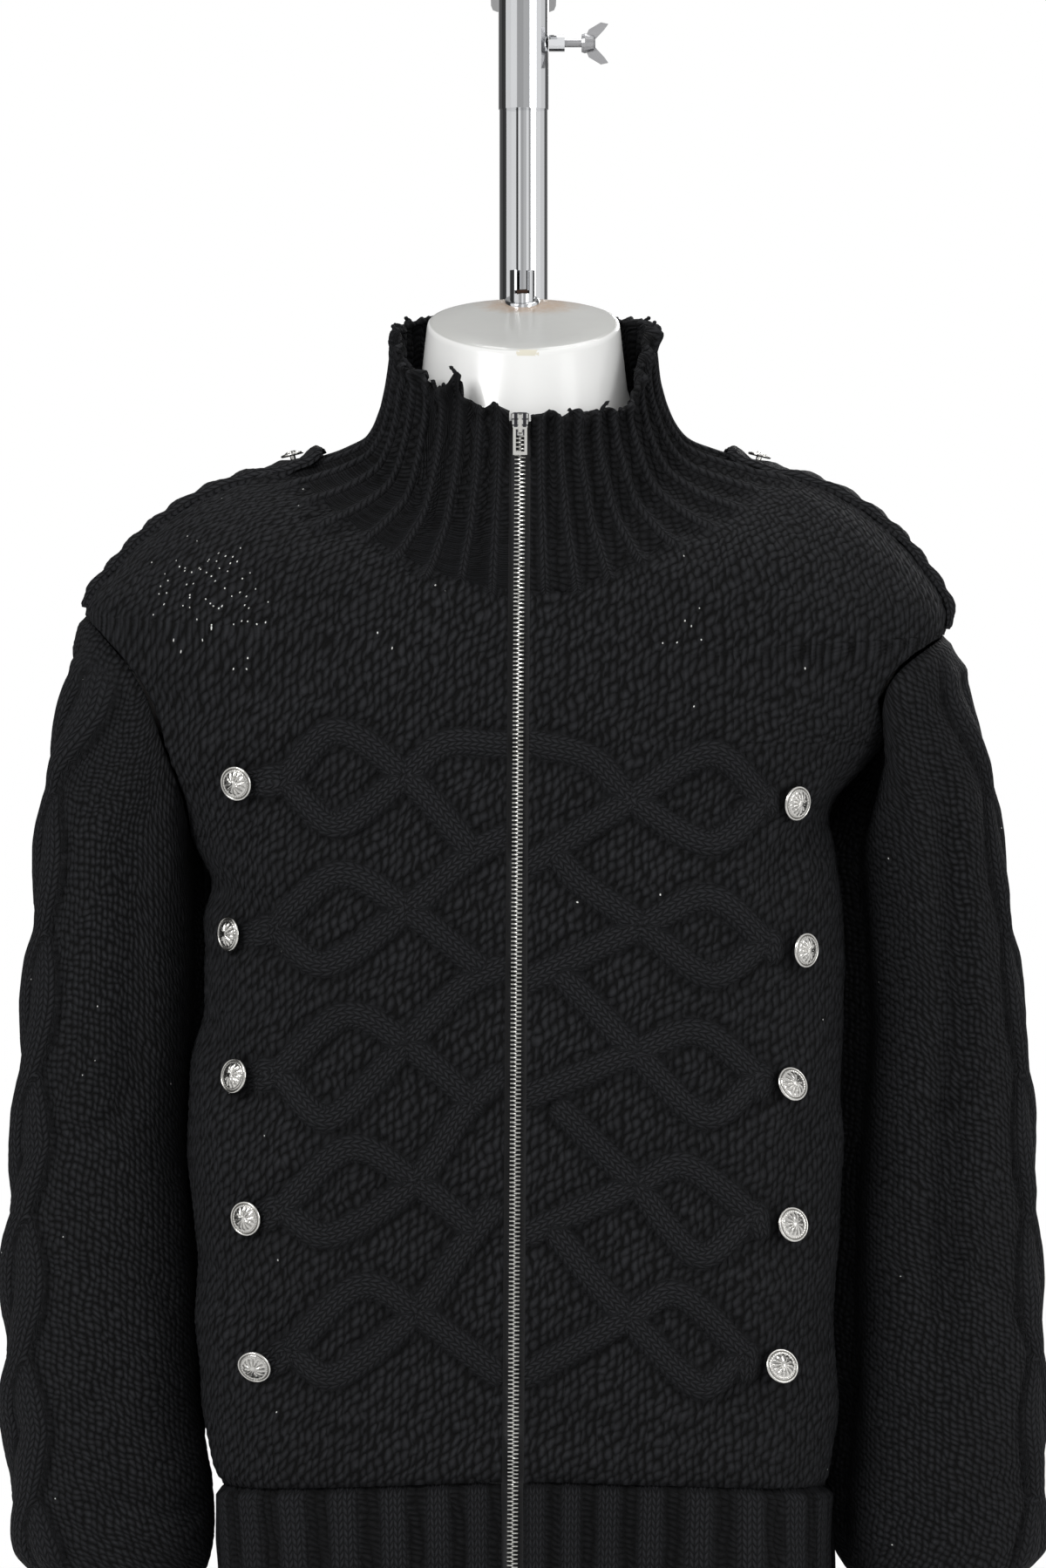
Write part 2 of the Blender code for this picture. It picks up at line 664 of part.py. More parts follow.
def panel(name, outline, runs, relief, spacing, taken=(), clear=0.0):
    """A body panel: its outer face carries the relief, and its inner face is plain."""
    work = bmesh.new()
    loose = fill_points(outline, spacing, spacing * 0.45, taken, clear)
    sides = []
    for face_runs, face_loose, outside in (
        (runs, loose, True),
        ((), fill_points(outline, 0.050, 0.018), False),
    ):
        made, faces, border = triangles(outline, face_runs, face_loose)
        edge_set = set(border)
        verts = []
        for index, point in enumerate(made):
            angle, along = point.x / FLAT_GIRTH, point.y
            out = -WALL
            if outside:
                seen = body_skin(angle, along)
                on_edge = index in edge_set
                out = 0 if on_edge or math.cos(angle) < 0 else relief(seen.x, seen.z)
            verts.append(work.verts.new(body_point(angle, along, out)))
        for face in faces:
            work.faces.new([verts[index] for index in face])
        sides.append([verts[index] for index in border])
    quads_between(work, sides[0], sides[1], True)
    return finish(name, work, "black_knit")


def spread(start, end, count):
    """Evenly spaced values from start up to, but without, end."""
    return [start + (end - start) * index / count for index in range(count)]


def zip_edge_angle(side, along, off):
    z = body_skin(0, along).z
    return angle_at(zip_x(z) + SIGN[side] * off, along)


def collar_angles(along=NECKLINE):
    """The collar's grooves and ridges, from the zip's right edge round to its left."""
    start = zip_edge_angle("right", along, ZIP_OPEN)
    end = 2 * math.pi + zip_edge_angle("left", along, ZIP_OPEN)
    count = COLLAR_RIBS * 2
    return [start + (end - start) * index / count for index in range(count + 1)]


def front_outline(side):
    """Corners of a front, laid flat: up the zip, round the neck, shoulder, armhole and side."""
    sign = SIGN[side]
    hole = ARMHOLE[side]
    inset = GAP / 2
    low, high = HEM_TOP + inset, NECKLINE - inset
    seam = sign * (SIDE - inset / SEAM_REACH)
    run = [(zip_edge_angle(side, along, ZIP_OPEN), along) for along in spread(low, high, 40)]
    run.append((zip_edge_angle(side, high, ZIP_OPEN), high))
    if side == "right":
        first, last = run[-1][0] + CORNER_CLEAR, seam - CORNER_CLEAR
        necks = [angle for angle in collar_angles() if first < angle < last]
    else:
        necks = [angle - 2 * math.pi for angle in reversed(collar_angles())]
        necks = [angle for angle in necks if seam + CORNER_CLEAR < angle < run[-1][0] - CORNER_CLEAR]
    run += [(angle, high) for angle in necks]
    run += [(seam, along) for along in spread(high, hole["top"], 6)]
    for turn in spread(0, math.pi, 13):
        angle, along = armhole_place(side, turn)
        run.append((min(abs(angle), abs(seam)) * sign, along))
    run += [(seam, along) for along in spread(hole["under"], low, 14)]
    end = zip_edge_angle(side, low, ZIP_OPEN)
    run += [(angle, low) for angle in spread(seam, end, 16)]
    return [flat(angle, along) for angle, along in run]


def back_outline():
    inset = GAP / 2
    low, high = HEM_TOP + inset, NECKLINE - inset
    seam = {side: SIDE + inset / SEAM_REACH for side in SIGN}
    run = []
    for side, ascending in (("right", True), ("left", False)):
        hole = ARMHOLE[side]
        edge = [(seam[side], along) for along in spread(low, hole["under"], 12)]
        for turn in spread(math.pi, 2 * math.pi, 13):
            angle, along = armhole_place(side, turn)
            edge.append((max(abs(angle), seam[side]), along))
        edge += [(seam[side], along) for along in spread(hole["top"], high, 6)]
        if ascending:
            edge.append((seam[side], high))
            last = 2 * math.pi - seam["left"]
            necks = [a for a in collar_angles() if seam[side] + CORNER_CLEAR < a < last - CORNER_CLEAR]
            edge += [(a, high) for a in necks]
            run += edge
        else:
            mirrored = [(2 * math.pi - angle, along) for angle, along in edge]
            mirrored.append((2 * math.pi - seam[side], high))
            run += mirrored[:0:-1]
            start = 2 * math.pi - seam[side]
            run += [(angle, low) for angle in spread(start, seam["right"], 22)]
    return [flat(angle, along) for angle, along in run]


def front_panel(side):
    outline = front_outline(side)
    strands = lattice_strands(side)
    relief = lattice_relief(side, strands)
    runs = []
    taken = []
    for run in strands:
        for shift in (-STRAND_HALF, -STRAND_CROWN, STRAND_CROWN, STRAND_HALF):
            kept = []
            for index, point in enumerate(run):
                before = run[max(index - 1, 0)]
                after = run[min(index + 1, len(run) - 1)]
                ahead = (after - before).normalized()
                place = point + Vector((-ahead.y, ahead.x)) * shift
                spot = flat(angle_at(place.x, place.y), place.y)
                if inside(spot, outline) and edge_distance(spot, outline) > 0.004:
                    kept.append(spot)
            if len(kept) > 1:
                runs.append(kept)
                taken += kept
    for x, z in button_places(side):
        seat = []
        for corner in range(7):
            turn = corner * math.pi / 3
            place = (x + BUTTON_SEAT * math.cos(turn), z + BUTTON_SEAT * math.sin(turn))
            seat.append(flat(angle_at(*place), place[1]))
        runs.append(seat)
        taken += seat
    panel(f"front_{side}", outline, runs, relief, 0.036, taken, 0.014)


def body_panels():
    for side in SIGN:
        front_panel(side)
    panel("back", back_outline(), (), lambda x, z: 0, 0.044)


# ---- ribs

def rib_walls():
    """The hem's three pieces: flat ribs three stitches wide with grooves between."""
    inset = GAP / 2
    seam = SIDE + inset / SEAM_REACH
    runs = {
        "hem_front_left": (-SIDE + inset / SEAM_REACH, zip_edge_angle("left", 0.17, ZIP_OPEN)),
        "hem_front_right": (zip_edge_angle("right", 0.17, ZIP_OPEN), SIDE - inset / SEAM_REACH),
        "hem_back": (seam, 2 * math.pi - seam),
    }
    for name, (start, end) in runs.items():
        share = HEM_RIBS / (2 * math.pi) * (end - start)
        ribs = round(share)
        angles = []
        heights = []
        for rib in range(ribs):
            for part, height in ((0.0, 0), (0.22, 1), (0.72, 1), (0.94, 0)):
                angles.append(start + (end - start) * (rib + part) / (ribs - 0.06))
                heights.append(height * HEM_RIB_HEIGHT)
        levels = (HEM_TOP - inset, 0.170, HEM_END)
        outer = [
            [body_point(a, level, h) for a, h in zip(angles, heights)] for level in levels
        ]
        inner = [[body_point(a, level, -WALL) for a in angles] for level in (levels[0], levels[-1])]
        wall(name, outer, inner, False)


def cuff(side):
    count = CUFF_RIBS * 4
    shifts = [0.2 if index % 4 in (0, 3) else 0 for index in range(count)]
    turns = [2 * math.pi * (index + shift) / count for index, shift in enumerate(shifts)]
    heights = [HEM_RIB_HEIGHT * (index % 4 in (1, 2)) for index in range(count)]
    top = CUFF_TOP - GAP / 2

    def row(level, raised):
        points = []
        for turn, height in zip(turns, heights):
            out = height if raised else -WALL
            point = sleeve_skin(side, turn, level) + sleeve_normal(side, turn, level) * out
            points.append(Vector((point.x, point.y, level)))
        return points

    outer = [row(level, True) for level in (top, CUFF_END)]
    inner = [row(level, False) for level in (top, CUFF_END)]
    wall(f"cuff_{side}", outer, inner, True)


def collar():
    """Ribs that fan out of the yoke, stand round the neck and end in a ragged edge."""
    low = NECKLINE + GAP / 2
    outer = []
    inner = []
    for part in (0, 0.16, 0.40, 0.70, 1.0):
        angles = collar_angles(low + (COLLAR_END - low) * part)
        top_row = []
        under_row = []
        for index, angle in enumerate(angles):
            degrees = math.degrees(angle)
            ragged = COLLAR_EDGE.at("end", degrees if degrees <= 180 else degrees - 360)
            end = ragged + (0.0022 if index % 2 else -0.0012)
            along = low + (end - low) * part
            height = COLLAR_RIB_HEIGHT * (index % 2) * smooth(0.3 + part * 4)
            top_row.append(body_point(angle, along, height))
            under_row.append(body_point(angle, along, -WALL))
        outer.append(top_row)
        if part in (0, 0.40, 1.0):
            inner.append(under_row)
    wall("collar", outer, inner, False)


# ---- sleeves

def sleeve_top(side, turn):
    """Outer edge point of the armhole and the cloth's normal there."""
    angle, along = armhole_place(side, turn)
    return body_skin(angle, along), body_normal(angle, along)


def sleeve_point(side, turn, z, out, top_point, top_normal):
    """A point of a sleeve, which leaves the armhole's edge and takes up its own outline."""
    start = sleeve_skin(side, turn, top_point.z)
    weight = 1 - smooth((top_point.z - z) / SLEEVE_BLEND)
    normal = sleeve_normal(side, turn, z) * (1 - weight) + top_normal * weight
    return sleeve_skin(side, turn, z) + (top_point - start) * weight + normal.normalized() * out


def sleeve_turns(side, z):
    """The columns round a sleeve: close on the rope and along the main crease."""
    centre = ROPE_ANGLE[side]
    rope = [centre + off for off in (-0.42, -0.32, -0.21, -0.10, 0, 0.10, 0.21, 0.32, 0.42)]
    _, crease = fold_centre(FOLDS[side][0], z)
    half = FOLDS[side][0]["half"]
    turns = rope + spread(rope[-1], crease - half * 1.3, 3)[1:]
    turns += [crease - half * 1.3, crease - half * 0.6, crease, crease + half * 0.6]
    start, end = crease + half * 1.3, rope[0] + 2 * math.pi
    return turns + spread(start, end, 9)


def sleeve(side):
    """A sleeve from its armhole to the cuff; part 0 of it is the armhole and 1 the cuff."""
    top_z = (ARMHOLE[side]["under"] + ARMHOLE[side]["top"]) / 2
    low_z = CUFF_TOP + GAP / 2
    away = Vector((SIGN[side] * 0.55, 0, -1)).normalized() * ARMHOLE_GAP

    def row(part, raised):
        points = []
        for turn in sleeve_turns(side, top_z + (low_z - top_z) * part):
            top_point, top_normal = sleeve_top(side, turn)
            z = top_point.z + (low_z - top_point.z) * part
            out = rope_relief(side, turn, z) * smooth(part * 12) if raised else -WALL
            point = sleeve_point(side, turn, z, out, top_point, top_normal)
            if part == 0:
                point += away
            if part == 1:
                point.z = low_z
            points.append(point)
        return points

    outer = [row(index / SLEEVE_ROWS_OUTER, True) for index in range(SLEEVE_ROWS_OUTER + 1)]
    inner = [row(index / SLEEVE_ROWS_INNER, False) for index in range(SLEEVE_ROWS_INNER + 1)]
    wall(f"sleeve_{side}", outer, inner, True)


# ---- epaulettes

def strap_out(part, place):
    """How far the strap's top stands off the shoulder, and its underside, at a place across it."""
    under = GAP + 0.0006 + 0.0045 * smooth(1 - part * 7)
    twist = 0.5 + 0.5 * math.cos((part * (STRAP_ROWS - 1) / 2 + place * 0.22) * 2 * math.pi)
    crown = 0.0042 * twist * (1 - place * place)
    thick = EPAULETTE_THICK * (0.45 if abs(place) == 1 else 1)
    return under + thick + crown, under


def strap_along(side, part):
    end = ARMHOLE[side]["top"] + 0.004
    return STRAP_START + (end - STRAP_START) * part


def epaulette(side):
    sign = SIGN[side]
    outer = []
    inner = []
    for index in range(STRAP_ROWS):
        part = index / (STRAP_ROWS - 1)
        along = strap_along(side, part)
        reach = BODY.at("right" if sign > 0 else "left", along)
        top_row = []
        under_row = []
        for place in (-1, -0.8, -0.4, 0, 0.4, 0.8, 1):
            angle = sign * (SIDE + 0.004 - place * EPAULETTE_HALF / reach)
            top, under = strap_out(part, place)
            top_row.append(body_point(angle, along, top))
            under_row.append(body_point(angle, along, under))
        outer.append(top_row)
        if index % 2 == 0:
            inner.append(under_row)
    wall(f"epaulette_{side}", outer, inner, False)


# ---- buttons and zip

def button(name, place, normal, radius):
    """A domed button with a raised rim on a short shank."""
    foot = 0.0006
    base = radius * 0.42
    profile = (
        (0.0, foot), (radius * 0.24, foot), (radius * 0.24, base), (radius, base),
        (radius, base + radius * 0.20), (radius * 0.60, base + radius * 0.38),
        (0.0, base + radius * 0.46),
    )
    turned(name, profile, place, normal, 10, "nickel", sharp=30)


def front_buttons():
    for side in SIGN:
        for index, (x, z) in enumerate(button_places(side)):
            angle = angle_at(x, z)
            button(
                f"button_{side}_{index + 1}", body_skin(angle, z), body_normal(angle, z),
                BUTTON_RADIUS,
            )
        part = STRAP_BUTTON_PART
        along = strap_along(side, part)
        angle = SIGN[side] * SIDE
        place = body_point(angle, along, strap_out(part, 0)[0])
        button(f"strap_button_{side}", place, body_normal(angle, along), STRAP_BUTTON_RADIUS)


def zip_section(side, along, near, far, low, high):
    """A rectangle across the zip: from near to far of its line, low to high of the cloth."""
    z = body_skin(0, along).z
    corners = ((near, low), (far, low), (far, high), (near, high))
    points = []
    for off, out in corners:
        angle = angle_at(zip_x(z) + SIGN[side] * off, along)
        points.append(body_point(angle, along, out))
    return points


# Each half of the zip: from and to its line, how deep and how high in the cloth.
ZIP_STRIPS = {
    "zip_teeth": (0.00015, 0.0036, -0.0046, -0.0008, "nickel"),
    "zip_tape": (0.0040, 0.0165, -0.0061, -0.0047, "zip_tape"),
}
def zip_strips():
    stations = spread(ZIP_LOW, HEM_TOP, 2) + spread(HEM_TOP, 0.228, 2) + spread(0.228, 0.265, 2)
    stations += spread(0.265, ZIP_HIGH, 16) + [ZIP_HIGH]
    for name, (near, far, low, high, look) in ZIP_STRIPS.items():
        for side in SIGN:
            sections = [zip_section(side, v, near, far, low, high) for v in stations]
            lofted(f"{name}_{side}", sections, look)


def zip_head():
    """The slider, its bail and the framed pull tab that hangs from the bail."""
    middle = body_skin(0, ZIP_HEAD)
    across = zip_x(middle.z)
    ahead = body_normal(0, ZIP_HEAD)
    up = (body_skin(0, ZIP_HEAD + 0.01) - body_skin(0, ZIP_HEAD - 0.01)).normalized()
    side = Vector((1, 0, 0))
    place = Vector((across, middle.y, middle.z))

    def at(x, y, z):
        return place + side * x + ahead * y + up * z

    rows = ((0.0035, 0.0040), (0.0030, 0.0054), (-0.004, 0.0052), (-0.0105, 0.0040))
    corners = ((-1, -0.0003), (1, -0.0003), (0.9, 0.0014), (-0.9, 0.0014))
    sections = [[at(half * part, out, z) for part, out in corners] for z, half in rows]
    lofted("zip_slider", sections, "nickel")
    arch = (
        (0.0017, 0.0025), (0.0040, 0.0018), (0.0052, -0.0010), (0.0052, -0.0060),
        (0.0042, -0.0090), (0.0017, -0.0098), (0.0017, -0.0084), (0.0034, -0.0078),
        (0.0041, -0.0056), (0.0041, -0.0014), (0.0032, 0.0006), (0.0017, 0.0012),
    )
    sections = [[at(x, y, z) for y, z in arch] for x in (-0.0011, 0.0011)]
    lofted("zip_bail", sections, "nickel")
    hinge = at(0, 0.0030, -0.0066)
    thick = 0.0006
    outer = ((-0.0043, 0.0009), (0.0043, 0.0009), (0.0043, -0.0160), (-0.0043, -0.0160))
    inner = ((-0.0026, -0.0004), (0.0026, -0.0004), (0.0026, -0.0140), (-0.0026, -0.0140))
    sections = []
    for (ox, oz), (ix, iz) in zip(outer, inner):
        sections.append([
            hinge + side * ox + ahead * thick + up * oz,
            hinge + side * ix + ahead * thick + up * iz,
            hinge + side * ix - ahead * thick + up * iz,
            hinge + side * ox - ahead * thick + up * oz,
        ])
    lofted("zip_pull", sections, "nickel", closed=True, origin=hinge)


# ---- the form and its stand

# The form's clearance inside the cloth: the jacket rests on its shoulders' ridge.
FORM_GAP = Table(("along", "ridge", "face"), (
    (0.100, 0.0120, 0.0120), (0.560, 0.0130, 0.0120), (0.620, 0.0170, 0.0120),
    (0.680, 0.0170, 0.0110), (0.740, 0.0110, 0.0095), (0.785, 0.0045, 0.0080),
    (0.812, 0.0012, 0.0085), (0.850, 0.0009, 0.0080), (0.885, 0.0050, 0.0080),
    (0.905, 0.0090, 0.0100), (0.930, 0.0130, 0.0130), (0.978, 0.0155, 0.0155),
    (1.040, 0.0155, 0.0155),
))


def form_point(angle, along):
    ridge = FORM_GAP.at("ridge", along)
    gap = ridge + (FORM_GAP.at("face", along) - ridge) * math.sqrt(abs(math.cos(angle)))
    return body_point(angle, along, -WALL - gap)


def form():
    """A smooth torso inside the cloth with a leaning neck and a slanted flat cap."""
    sides = 24
    angles = [2 * math.pi * index / sides for index in range(sides)]
    stations = (
        0.220, 0.330, 0.440, 0.540, 0.600, 0.640, 0.690, 0.735, 0.765, 0.790,
        0.815, 0.835, 0.855, 0.875, 0.892, 0.908, 0.928, 0.952,
    )
    hips = [body_point(angle, HEM_END, -WALL - 0.014) for angle in angles]
    sections = [
        [Vector((p.x * 0.93, p.y * 0.90, FORM_LOW)) for p in hips],
        [Vector((p.x, p.y, FORM_LOW + 0.010)) for p in hips],
    ]
    sections += [[form_point(angle, along) for angle in angles] for along in stations]
    cap = [form_point(angle, FORM_TOP) for angle in angles]
    sections.append([Vector((p.x, p.y, CAP_Z + NECK_TILT * (p.y - CAP_Y))) for p in cap])
    lofted("form", sections, "white_gloss", sharp=50)


def ring_profile(bore, radius, low, high):
    return ((bore, low), (radius, low), (radius, high), (bore, high))


def cutter(name, made, operation, target):
    """Hides a solid and uses it to cut or extend another."""
    made.hide_render = True
    made.display_type = "WIRE"
    change = target.modifiers.new(name, "BOOLEAN")
    change.operation = operation
    change.solver = "EXACT"
    change.object = made


def stand():
    """From the cap up: socket, rod, sleeve tube, arm, column and base."""
    across = (0, 0, 0)
    up = (0, 0, 1)
    foot = CAP_Z - NECK_TILT * CAP_Y + NECK_TILT * SOCKET_FLANGE + GAP
    bore = ROD_RADIUS + GAP
    rim = foot + SOCKET_FLANGE_THICK
    socket_profile = (
        (bore, foot), (SOCKET_FLANGE, foot), (SOCKET_FLANGE, rim), (SOCKET_RADIUS, rim + 0.0004),
        (SOCKET_RADIUS, foot + SOCKET_HEIGHT), (bore, foot + SOCKET_HEIGHT),
    )
    socket = turned("form_socket", socket_profile, across, up, 20, "chrome")
    slot_low = (SOCKET_SLOT[0], -SOCKET_FLANGE, foot + SOCKET_SLOT_LOW)
    slot_high = (SOCKET_SLOT[1], 0, foot + SOCKET_HEIGHT + 0.005)
    cutter("socket_slot", box("socket_slot", slot_low, slot_high, "chrome"), "DIFFERENCE", socket)
    rod_low = foot + 0.0005
    rod = ((0, rod_low), (ROD_RADIUS, rod_low), (ROD_RADIUS, ROD_TOP), (0, ROD_TOP))
    turned("rod", rod, across, up, 16, "chrome")
    turned("sleeve_tube", ring_profile(bore, TUBE_RADIUS, TUBE_LOW, TUBE_TOP), across, up, 24, "chrome")
    arm = box(
        "arm", (-ARM_HALF, -ARM_OVER, ARM_LOW), (ARM_HALF, COLUMN_Y + ARM_OVER, ARM_TOP),
        "chrome", ARM_BEVEL,
    )
    clear = TUBE_RADIUS + GAP
    bore_low, bore_high = ARM_LOW - ARM_BEVEL, ARM_TOP + ARM_BEVEL
    bore_profile = ((0, bore_low), (clear, bore_low), (clear, bore_high), (0, bore_high))
    cutter("arm_bore", turned("arm_bore", bore_profile, across, up, 24, "chrome"), "DIFFERENCE", arm)
    column = (
        (0, BASE_TOP + GAP), (COLUMN_FLANGE, BASE_TOP + GAP), (COLUMN_FLANGE, BASE_TOP + 0.005),
        (TUBE_RADIUS + 0.004, BASE_TOP + 0.009), (TUBE_RADIUS, BASE_TOP + 0.016),
        (TUBE_RADIUS, ARM_LOW - GAP), (0, ARM_LOW - GAP),
    )
    turned("column", column, (0, COLUMN_Y, 0), up, 24, "chrome")
    box(
        "base", (-BASE_HALF_X, -BASE_HALF_Y, 0), (BASE_HALF_X, BASE_HALF_Y, BASE_TOP), "chrome",
        BASE_CORNER, 5, up,
    )
    clamp()


def clamp():
    """The boss on the sleeve tube and the wing bolt that clamps the rod through it."""
    along_x = (1, 0, 0)
    place = (0, 0, CLAMP_Z)
    start = TUBE_RADIUS + GAP
    boss = ring_profile(BOLT_RADIUS + GAP, BOSS_RADIUS, start, BOSS_END)
    turned("bolt_boss", boss, place, along_x, 16, "chrome")
    bolt = (
        (0, start), (BOLT_RADIUS, start), (BOLT_RADIUS, WING_HUB), (0.0055, WING_HUB),
        (0.0062, WING_HUB + 0.002), (0.0050, WING_END - 0.001), (0.0035, WING_END), (0, WING_END),
    )
    wing_bolt = turned("wing_bolt", bolt, place, along_x, 16, "chrome", origin=place)
    outline = (
        (0.0370, -0.001), (0.0430, -0.001), (0.0500, -0.0085), (0.0525, -0.0120),
        (0.0480, -0.0130), (0.0405, -0.0085),
    )
    work = bmesh.new()
    for flip in (1, -1):
        faces = []
        for side in (-WING_THICK / 2, WING_THICK / 2):
            faces.append([work.verts.new((x, side, flip * z)) for x, z in outline])
        quads_between(work, faces[0], faces[1], True)
        work.faces.new(faces[0])
        work.faces.new(faces[1])
    wings = finish("wings", work, "chrome")
    wings.location = place
    cutter("wings", wings, "UNION", wing_bolt)


def main():
    for old in list(bpy.data.objects):
        bpy.data.objects.remove(old)
    body_panels()
    rib_walls()
    collar()
    for side in SIGN:
        cuff(side)
        sleeve(side)
        epaulette(side)
    front_buttons()
    zip_strips()
    zip_head()
    form()
    stand()


main()
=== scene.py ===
# A black hand-knit zip jacket with a cable lattice and two rows of domed buttons, on a
# glossy white torso form that hangs by a rod from a chrome stand. Metres, +Z up.
# The zip faces -Y, and left is the -X side, as the camera sees it.
import math

import bmesh
import bpy
from mathutils import Matrix, Vector, kdtree, noise


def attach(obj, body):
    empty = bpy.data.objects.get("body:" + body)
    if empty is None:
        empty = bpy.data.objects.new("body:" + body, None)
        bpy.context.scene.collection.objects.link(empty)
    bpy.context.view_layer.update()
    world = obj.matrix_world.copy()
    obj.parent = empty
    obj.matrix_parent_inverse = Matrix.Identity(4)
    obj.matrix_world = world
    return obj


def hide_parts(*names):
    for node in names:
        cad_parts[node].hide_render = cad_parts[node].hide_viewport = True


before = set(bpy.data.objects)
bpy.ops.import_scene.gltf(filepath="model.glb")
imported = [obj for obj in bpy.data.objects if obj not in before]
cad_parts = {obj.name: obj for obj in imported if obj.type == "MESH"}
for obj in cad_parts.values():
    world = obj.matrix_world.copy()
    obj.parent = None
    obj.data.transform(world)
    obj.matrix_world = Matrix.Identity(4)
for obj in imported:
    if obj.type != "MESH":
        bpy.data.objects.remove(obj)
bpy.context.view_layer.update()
print("frame loaded")

cloth = {
    "gap": 0.0003,  # between pieces that meet
    "wall": 0.0034,
    "hemEnd": 0.128,
    "hemTop": 0.212,
    "neckline": 0.870,
    "collarEnd": 1.0,
    "ringDip": 1.5,  # how fast a ring leaves its side height towards the front
    "seamHalf": 0.0008,  # a side seam's half gap, as an angle
    "stitchDeep": 0.0006,
    "stitchWide": 0.0104,
    "stitchTall": 0.0128,
    "hemDip": (0.0022, 0.006),  # where the body meets the hem: how deep, how wide
    "zipOpen": 0.0066,
    "zipTopX": -0.0020,
    "zipLean": 0.0068,
    "zipTopZ": 0.876,
}
fullTurn = 2 * math.pi
quarter = math.pi / 2
signs = {"left": -1, "right": 1}
bodyName = "jacket_on_form"

# The body's rings from hem to collar: "along" runs up the cloth.
bodyColumns = (
    "along", "left", "right", "front", "back", "sideZ", "frontZ", "backZ", "square", "middle",
)
bodyRows = (
    (0.128, 0.181, 0.189, 0.117, 0.104, 0.128, 0.138, 0.128, 3.0, 0.000),
    (0.212, 0.1872, 0.188, 0.120, 0.107, 0.212, 0.222, 0.212, 3.0, 0.000),
    (0.228, 0.1928, 0.190, 0.124, 0.109, 0.228, 0.236, 0.228, 3.0, 0.000),
    (0.265, 0.199, 0.195, 0.129, 0.111, 0.265, 0.269, 0.265, 3.0, 0.000),
    (0.310, 0.200, 0.192, 0.132, 0.111, 0.310, 0.310, 0.310, 3.0, 0.000),
    (0.380, 0.204, 0.196, 0.135, 0.110, 0.380, 0.380, 0.380, 2.9, 0.000),
    (0.430, 0.207, 0.198, 0.137, 0.109, 0.430, 0.430, 0.430, 2.9, 0.000),
    (0.480, 0.203, 0.198, 0.138, 0.110, 0.480, 0.480, 0.480, 2.8, 0.000),
    (0.565, 0.195, 0.197, 0.139, 0.114, 0.565, 0.565, 0.565, 2.8, 0.000),
    (0.620, 0.208, 0.192, 0.138, 0.118, 0.620, 0.620, 0.620, 2.7, 0.000),
    (0.690, 0.256, 0.238, 0.136, 0.121, 0.690, 0.690, 0.690, 2.5, 0.000),
    (0.750, 0.271, 0.262, 0.132, 0.120, 0.750, 0.722, 0.735, 2.4, 0.000),
    (0.785, 0.249, 0.244, 0.129, 0.117, 0.783, 0.736, 0.760, 2.3, -0.002),
    (0.820, 0.216, 0.214, 0.126, 0.111, 0.813, 0.746, 0.785, 2.2, -0.004),
    (0.845, 0.180, 0.180, 0.121, 0.103, 0.831, 0.754, 0.806, 2.1, -0.007),
    (0.870, 0.140, 0.141, 0.114, 0.093, 0.841, 0.762, 0.826, 2.1, -0.011),
    (0.890, 0.112, 0.114, 0.106, 0.083, 0.848, 0.777, 0.846, 2.05, -0.017),
    (0.905, 0.095, 0.097, 0.096, 0.076, 0.857, 0.793, 0.861, 2.0, -0.023),
    (0.925, 0.086, 0.087, 0.087, 0.070, 0.873, 0.814, 0.878, 2.0, -0.029),
    (0.950, 0.081, 0.081, 0.079, 0.066, 0.893, 0.835, 0.901, 2.0, -0.033),
    (0.975, 0.0785, 0.0785, 0.075, 0.064, 0.914, 0.856, 0.923, 2.0, -0.035),
    (1.000, 0.0770, 0.0770, 0.073, 0.063, 0.936, 0.876, 0.945, 2.0, -0.036),
    (1.040, 0.0760, 0.0760, 0.072, 0.062, 0.972, 0.912, 0.981, 2.0, -0.038),
)
armholes = {
    "left": {"under": 0.612, "top": 0.750, "front": 0.34, "back": 0.37},
    "right": {"under": 0.668, "top": 0.737, "front": 0.32, "back": 0.35},
}


class Rows:
    # rows with named columns, read between rows along smooth curves that never overshoot
    def __init__(self, columns, rows):
        self.places = [row[0] for row in rows]
        self.columns = {
            name: [row[index] for row in rows] for index, name in enumerate(columns) if index
        }
        self.slopes = {name: self.slopesOf(values) for name, values in self.columns.items()}

    def slopesOf(self, values):
        steps = [
            (values[i + 1] - values[i]) / (self.places[i + 1] - self.places[i])
            for i in range(len(values) - 1)
        ]
        inner = [
            2 * before * after / (before + after) if before * after > 0 else 0
            for before, after in zip(steps, steps[1:])
        ]
        return [steps[0], *inner, steps[-1]]

    def at(self, name, place):
        places, values, slopes = self.places, self.columns[name], self.slopes[name]
        place = min(max(place, places[0]), places[-1])
        low = 0
        while low < len(places) - 2 and place > places[low + 1]:
            low += 1
        span = places[low + 1] - places[low]
        part = (place - places[low]) / span
        rest = 1 - part
        return (
            values[low] * rest * rest * (1 + 2 * part)
            + values[low + 1] * part * part * (1 + 2 * rest)
            + slopes[low] * span * part * rest * rest
            - slopes[low + 1] * span * rest * part * part
        )


bodyTable = Rows(bodyColumns, bodyRows)
ringMemo = {}


def ringAt(along):
    if along not in ringMemo:
        ringMemo[along] = [bodyTable.at(name, along) for name in bodyColumns[1:]]
    return ringMemo[along]


def bodySkin(angle, along):
    # angle 0 is the zip, a quarter turn the +X side
    left, right, front, back, sideZ, frontZ, backZ, square, middle = ringAt(along)
    across, facing = math.sin(angle), math.cos(angle)
    reach = right if across > 0 else left
    depth, level = (front, frontZ) if facing > 0 else (back, backZ)
    radius = (abs(across / reach) ** square + abs(facing / depth) ** square) ** (-1 / square)
    lift = abs(facing) ** cloth["ringDip"]
    return Vector((radius * across, middle - radius * facing, sideZ + (level - sideZ) * lift))


